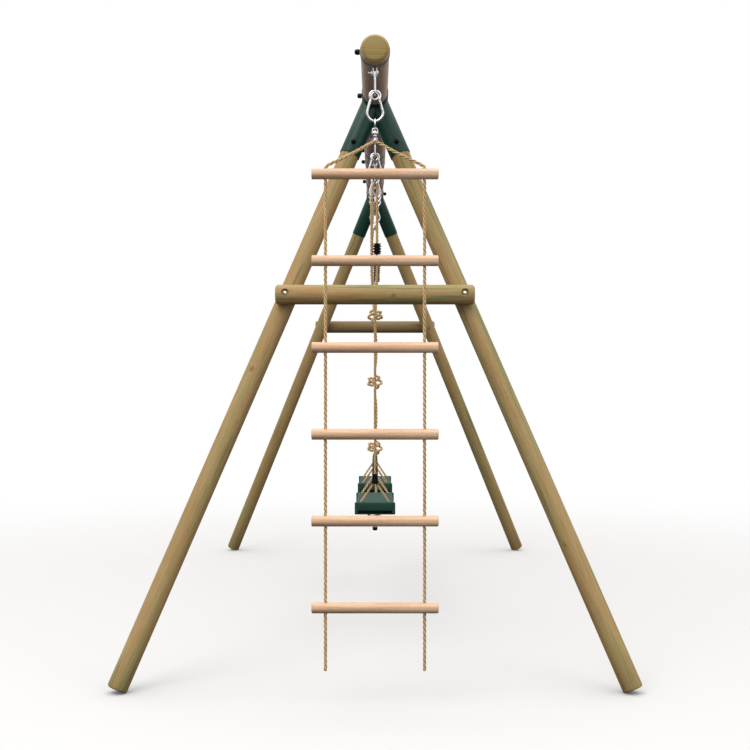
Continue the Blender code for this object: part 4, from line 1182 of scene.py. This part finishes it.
def squircle(corner, count=40):
    """A square outline with round corners, 1 from its middle to its sides."""
    points = []
    for quarter in range(4):
        start = quarter * pi / 2
        x = (1 - corner) * copysign(1, cos(start + pi / 4))
        y = (1 - corner) * copysign(1, sin(start + pi / 4))
        for angle in np.linspace(start, start + pi / 2, count // 4):
            points.append((x + corner * cos(angle), y + corner * sin(angle)))
    return points


def bridle_sleeve(number, side):
    """A square moulded sleeve with two ribs at its neck and a step above its foot."""
    name = f"swing_{number}_sleeve_{side}"
    line, length, _ = swing_line(number, side)
    bottom, top = (height - length for height in SLEEVE_SPAN)
    below_top = [(0, 0.0062), (0, 0.0084), (0.0008, 0.0094), (0.003, 0.0094), (0.0038, 0.0083), (0.005, 0.0083)]
    below_top += [(0.0058, 0.0098), (0.0082, 0.0098), (0.009, 0.0087), (0.0102, 0.0087), (0.0112, 0.0104)]
    above_foot = [(0.016, 0.011), (0.015, 0.0105), (0.0138, 0.0105), (0.0128, 0.0113), (0.0025, 0.0118)]
    above_foot += [(0.0006, 0.0114), (0, 0.0106), (0, 0.0098), (0.01, 0.0064)]
    levels = [(top - drop, half) for drop, half in below_top] + [(bottom + rise, half) for rise, half in above_foot]
    outline = squircle(0.42)
    sides = len(outline)
    points = []
    faces = []
    for row, (height, half) in enumerate(levels):
        size = half * SLEEVE_SCALE
        points += [(x * size, y * size, height) for x, y in outline]
        here, there = row * sides, (row + 1) % len(levels) * sides
        for column in range(sides):
            after = (column + 1) % sides
            faces.append((here + column, there + column, there + after, here + after))
    obj = mesh_object(name + "_mould", (points, faces), BLACK, line, 30)
    finished(obj, f"swing_{number}", "black_plastic", name)


def rope_adjuster(number, side):
    """The ribbed slider: four waisted blocks in a row."""
    name = f"swing_{number}_adjuster_{side}"
    line, _, _ = swing_line(number, side)
    bore = SWING_ROPE_RADIUS + 0.0006
    half = 2 * RIB_PITCH
    rib = [(0.0135, 0.0001), (0.0166, 0.0004), (0.017, 0.0011), (0.0168, 0.0024), (0.0112, 0.005)]
    rib += [(0.0112, 0.0062), (0.0168, 0.0088), (0.017, 0.0101), (0.0166, 0.0108), (0.0135, 0.0111)]
    profile = [(bore, half - 0.001)]
    for top in (half, RIB_PITCH, 0, -RIB_PITCH):
        profile += [(radius, top - drop) for radius, drop in rib]
    profile.append((bore, -half + 0.001))
    place = line @ at(STRAND_X[1], 0, line_height(line, centre_of(name).z))
    obj = mesh_object(name + "_mould", lathe(profile, 48, True), BLACK, place, 30)
    finished(obj, f"swing_{number}_adjuster_{side}", "black_plastic", name)


def knot_path(height, spin, tilt):
    """An open overhand knot in a hanging rope, from below it to above it."""
    wide, tall, deep = KNOT_SIZE
    inner = np.linspace(-1.95, 1.95, 120)[2:-2]
    marks = np.array([-1.95, -1.932, -1.732, -0.518, 0.518, 1.732, 1.932, 1.95])
    values = np.array([1.0, 1, -1, 1, -1, 1, -1, -1])
    slot = np.clip(np.searchsorted(marks, inner, side="right") - 1, 0, len(marks) - 2)
    share = np.clip((inner - marks[slot]) / (marks[slot + 1] - marks[slot]), 0, 1)
    eased = share * share * (3 - 2 * share)
    depth = values[slot] + (values[slot + 1] - values[slot]) * eased
    sideways = wide * (inner**4 - 4 * inner**2 + 2)
    knot = np.column_stack([sideways, deep * depth, tall * (inner**3 - 3 * inner)])
    lead = 0.038
    lower = [(0, 0, -lead - 0.02), (0, 0, -lead), (0.004, 0.003, -lead + 0.009), (0.018, deep * 0.8, -0.0215)]
    upper = [(x, -y, -z) for x, y, z in reversed(lower)]
    points = []
    for point in np.vstack([lower, knot, upper]):
        lean = radians(tilt) * max(0.0, 1 - (point[2] / lead) ** 2)
        turned = Matrix.Rotation(radians(spin), 3, "Z") @ Matrix.Rotation(lean, 3, "Y") @ Vector(point)
        points.append(tuple(turned + Vector((0, 0, height))))
    return points


def climbing_rope(y):
    """The rope over its ring, spliced, with four knots down to the capped end."""
    base = PIVOT_HEIGHT - RING_DROP - RING_BEND
    splice = CLIMBING_SPLICE_HEIGHT - base
    path = [(0, 0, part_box("climbing_rope_end_cap")[0].z - base + 0.006)]
    knots = sorted(zip(KNOT_HEIGHTS, KNOT_TURNS, KNOT_TILTS))
    tops = [height for height, _, _ in knots[1:]] + [CLIMBING_SPLICE_HEIGHT]
    for (height, spin, tilt), above in zip(knots, tops):
        path += knot_path(height - base, spin, tilt)
        path += [(KNOT_SHIFT, 0, height + (above - height) * share - base) for share in (0.35, 0.65)]
    path.append((0, 0, splice + 0.004))
    strands = [doubled_strands(splice, SWING_ROPE_RADIUS)]
    strands.append(laid_rope(smooth_path(path, PATH_SAMPLE), CLIMBING_ROPE_RADIUS))
    strands.append(whipping(splice + 0.004, splice - 0.024, 0.0092))
    obj = rope_object("climbing_rope_laid", strands, at(0, y, base))
    finished(obj, "climbing_rope", "rope", "climbing_rope")


def rope_end_cap(y):
    name = "climbing_rope_end_cap"
    low, high = (corner.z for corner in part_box(name))
    high -= ROPE_CAP_DROP
    r = ROPE_CAP_RADIUS
    profile = [(CLIMBING_ROPE_RADIUS + 0.0006, high)] + rounded(r, high, high - 0.005, 0.0009, 3)
    profile += [(r - 0.001, high - 0.0058), (r - 0.001, high - 0.0068), (r, high - 0.0076), (r, low + 0.0045)]
    profile += [(0.0088, low + 0.0018), (0.0066, low + 0.0004), (0.004, low), (0, low)]
    obj = mesh_object(name + "_mould", lathe(profile), BLACK, at(0, y, 0), 30)
    finished(obj, "climbing_rope", "black_plastic", name)


# ---- seats


def seat(number):
    """A moulded tray with rounded shoulders, a lip and a slot at each end, and ribs under the top."""
    name = f"swing_{number}_seat"
    low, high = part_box(name)
    length = high.y - low.y
    middle = -SEAT_DEPTH / 2
    under = -SEAT_WALL - SEAT_RIB_HEIGHT / 2 + 0.0002
    origin = at(0, (low.y + high.y) / 2, high.z)
    hollow = (SEAT_WIDTH - 2 * SEAT_WALL, length - 2 * SEAT_WALL, SEAT_DEPTH)
    mouth = (SEAT_WIDTH - 0.014, 2 * SEAT_RECESS, SEAT_MOUTH)
    baffle = (SEAT_WIDTH - SEAT_WALL, SEAT_RIB, SEAT_DEPTH - SEAT_WALL - 0.001)
    floor = (SEAT_WIDTH - SEAT_WALL, SEAT_RECESS + 0.004, 0.0044)
    rims = []
    cutters = [slab(hollow, 0.003, (0, 0, middle - SEAT_WALL), 2)]
    ribs = []
    for end in (-1, 1):
        rim = (SEAT_END_WIDTH, SEAT_FLANGE, SEAT_DEPTH)
        rims.append(slab(rim, 0.0045, (0, end * (length - SEAT_FLANGE) / 2, middle), 5))
        cutters.append(slab(mouth, 0.002, (0, end * length / 2, -SEAT_END_DEPTH - SEAT_MOUTH / 2), 2))
        ribs.append(slab(baffle, 0, (0, end * (length / 2 - SEAT_RECESS - 0.006), middle - SEAT_WALL / 2)))
        ribs.append(slab(floor, 0, (0, end * (length / 2 - SEAT_RECESS / 2 - 0.006), -SEAT_DEPTH + 0.0024)))
    for across in (-0.036, 0, 0.036):
        ribs.append(slab((SEAT_RIB, length - 0.02, SEAT_RIB_HEIGHT), 0, (across, 0, under)))
    for along in (-0.14, -0.07, 0, 0.07, 0.14):
        ribs.append(slab((SEAT_WIDTH - 0.006, SEAT_RIB, SEAT_RIB_HEIGHT + 0.0002), 0, (0, along, under)))
    holes = []
    for side in SIDES:
        line, reach, bridle = swing_line(number, side)
        lean = atan(SEAT_HOLE_X / bridle)
        for hand in (-1, 1):
            place = line @ at(hand * SEAT_HOLE_X, 0, -reach) @ turn(-hand * lean, "Y")
            holes.append((rod(HOLE_RADIUS, 0.02, 28), place))
    body = slab((SEAT_WIDTH, length - 0.004, SEAT_DEPTH), 0.0095, (0, 0, middle), 6)
    obj = mesh_object(name + "_mould", body, GREEN_PLASTIC, origin)
    carve(obj, [(shape, origin) for shape in rims], "UNION")
    carve(obj, [(shape, origin) for shape in cutters] + holes)
    carve(obj, [(shape, origin) for shape in ribs], "UNION")
    soften(obj, 0.0007)
    finished(obj, f"swing_{number}", "green_plastic", name)


# ---- the whole


def build_frame():
    beam()
    for side in SIDES:
        for hand in HANDS:
            leg(side, hand)
        crossbar(side)
        bracket(side)
        bracket_caps(side)
        crossbar_screws(side)


def build_ladder():
    y = JOINTS["ladder_swing"]["pos_m"][1]
    strap_clamp("ladder_clamp", False, True)
    free_link("ladder_link")
    snap_hook("ladder_hook", "ladder_hook", y, True, swivel=True)
    hook_gate("ladder_hook_gate", "ladder_gate", y)
    swivel_eye(y)
    ladder_rope(y)
    for number in range(1, 7):
        ladder_rung(number)


def build_swing(number):
    for side in SIDES:
        hook = f"swing_{number}_hook_{side}"
        strap_clamp(f"swing_{number}_clamp_{side}", True, True)
        snap_hook(hook, f"swing_{number}", centre_of(hook).y, False)
        swing_rope(number, side)
        bridle_sleeve(number, side)
        rope_adjuster(number, side)
    seat(number)


def build_climbing_rope():
    y = JOINTS["climbing_rope_swing"]["pos_m"][1]
    strap_clamp("climbing_rope_clamp", False, False)
    free_link("climbing_rope_link")
    snap_hook("climbing_rope_hook", "climbing_rope", y, True)
    hook_gate("climbing_rope_hook_gate", "climbing_rope_gate", y)
    climbing_rope(y)
    rope_end_cap(y)


# ---- stage


def cleared_tree(owner):
    owner.use_nodes = True
    owner.node_tree.nodes.clear()
    return owner.node_tree


def camera_mix(tree, to_object, to_camera):
    """One shader for the light that falls on the object, and another for what the camera sees."""
    seen = node(tree, "LightPath").outputs["Is Camera Ray"]
    return node(tree, "MixShader", {0: seen, 1: to_object.outputs[0], 2: to_camera.outputs[0]}).outputs[0]


def floor_material():
    """A pale floor that is bright to the camera, throws little light back up and fades to white far off."""
    material = bpy.data.materials.new("studio_floor")
    tree = cleared_tree(material)
    seen = node(tree, "BsdfDiffuse", {"Color": (FLOOR_GAIN, FLOOR_GAIN * 0.995, FLOOR_GAIN * 0.99, 1)})
    bounce = node(tree, "BsdfDiffuse", {"Color": (*FLOOR_BOUNCE, 1)})
    white = node(tree, "Emission", {"Color": (1, 1, 1, 1), "Strength": 1.0})
    reach = vector_math(tree, "LENGTH", node(tree, "TexCoord").outputs["Object"])
    fade_inputs = {"Value": reach, "From Min": FLOOR_FADE[0], "From Max": FLOOR_FADE[1]}
    fade = node(tree, "MapRange", fade_inputs, interpolation_type="SMOOTHERSTEP").outputs[0]
    near = node(tree, "MixShader", {0: fade, 1: seen.outputs[0], 2: white.outputs[0]})
    node(tree, "OutputMaterial", {"Surface": camera_mix(tree, bounce, near)})
    return material


def studio_world():
    """White to the camera. To the object, a dome that is bright overhead and dimmer at the sides."""
    world = bpy.data.worlds.new("studio")
    tree = cleared_tree(world)
    direction = node(tree, "TexCoord").outputs["Generated"]
    up = node(tree, "SeparateXYZ", {0: direction}).outputs["Z"]
    lit = node(tree, "Background", {"Color": ramp(tree, up, DOME), "Strength": 1.0})
    white = node(tree, "Background", {"Color": (1, 1, 1, 1), "Strength": 1.0})
    node(tree, "OutputWorld", {"Surface": camera_mix(tree, lit, white)})
    bpy.context.scene.world = world


def area_light(name, location, target, size, power, color):
    light = bpy.data.lights.new(name, "AREA")
    light.shape = "RECTANGLE"
    light.size = light.size_y = size
    light.energy = power
    light.color = color
    lamp = bpy.data.objects.new(name, light)
    bpy.context.scene.collection.objects.link(lamp)
    lamp.location = location
    lamp.rotation_euler = (Vector(target) - Vector(location)).to_track_quat("-Z", "Y").to_euler()
    lamp.visible_camera = False


def stage():
    reach = FLOOR_SPREAD
    shape = ([(-reach, -reach, 0), (reach, -reach, 0), (reach, reach, 0), (-reach, reach, 0)], [(0, 1, 2, 3)])
    mesh_object("studio_floor", shape, floor_material())
    studio_world()
    for name, setting in LIGHTS.items():
        area_light(name, *setting)
    camera_data = bpy.data.cameras.new("camera")
    camera_data.lens = CAMERA_LENS
    camera_data.sensor_width = 36.0
    camera = bpy.data.objects.new("camera", camera_data)
    bpy.context.scene.collection.objects.link(camera)
    camera.location = CAMERA_SPOT
    camera.rotation_euler = (QUARTER, 0, 0)
    bpy.context.scene.camera = camera
    bpy.context.scene.view_settings.view_transform = "Standard"


build_frame()
build_ladder()
for number in (1, 2):
    build_swing(number)
build_climbing_rope()
stage()
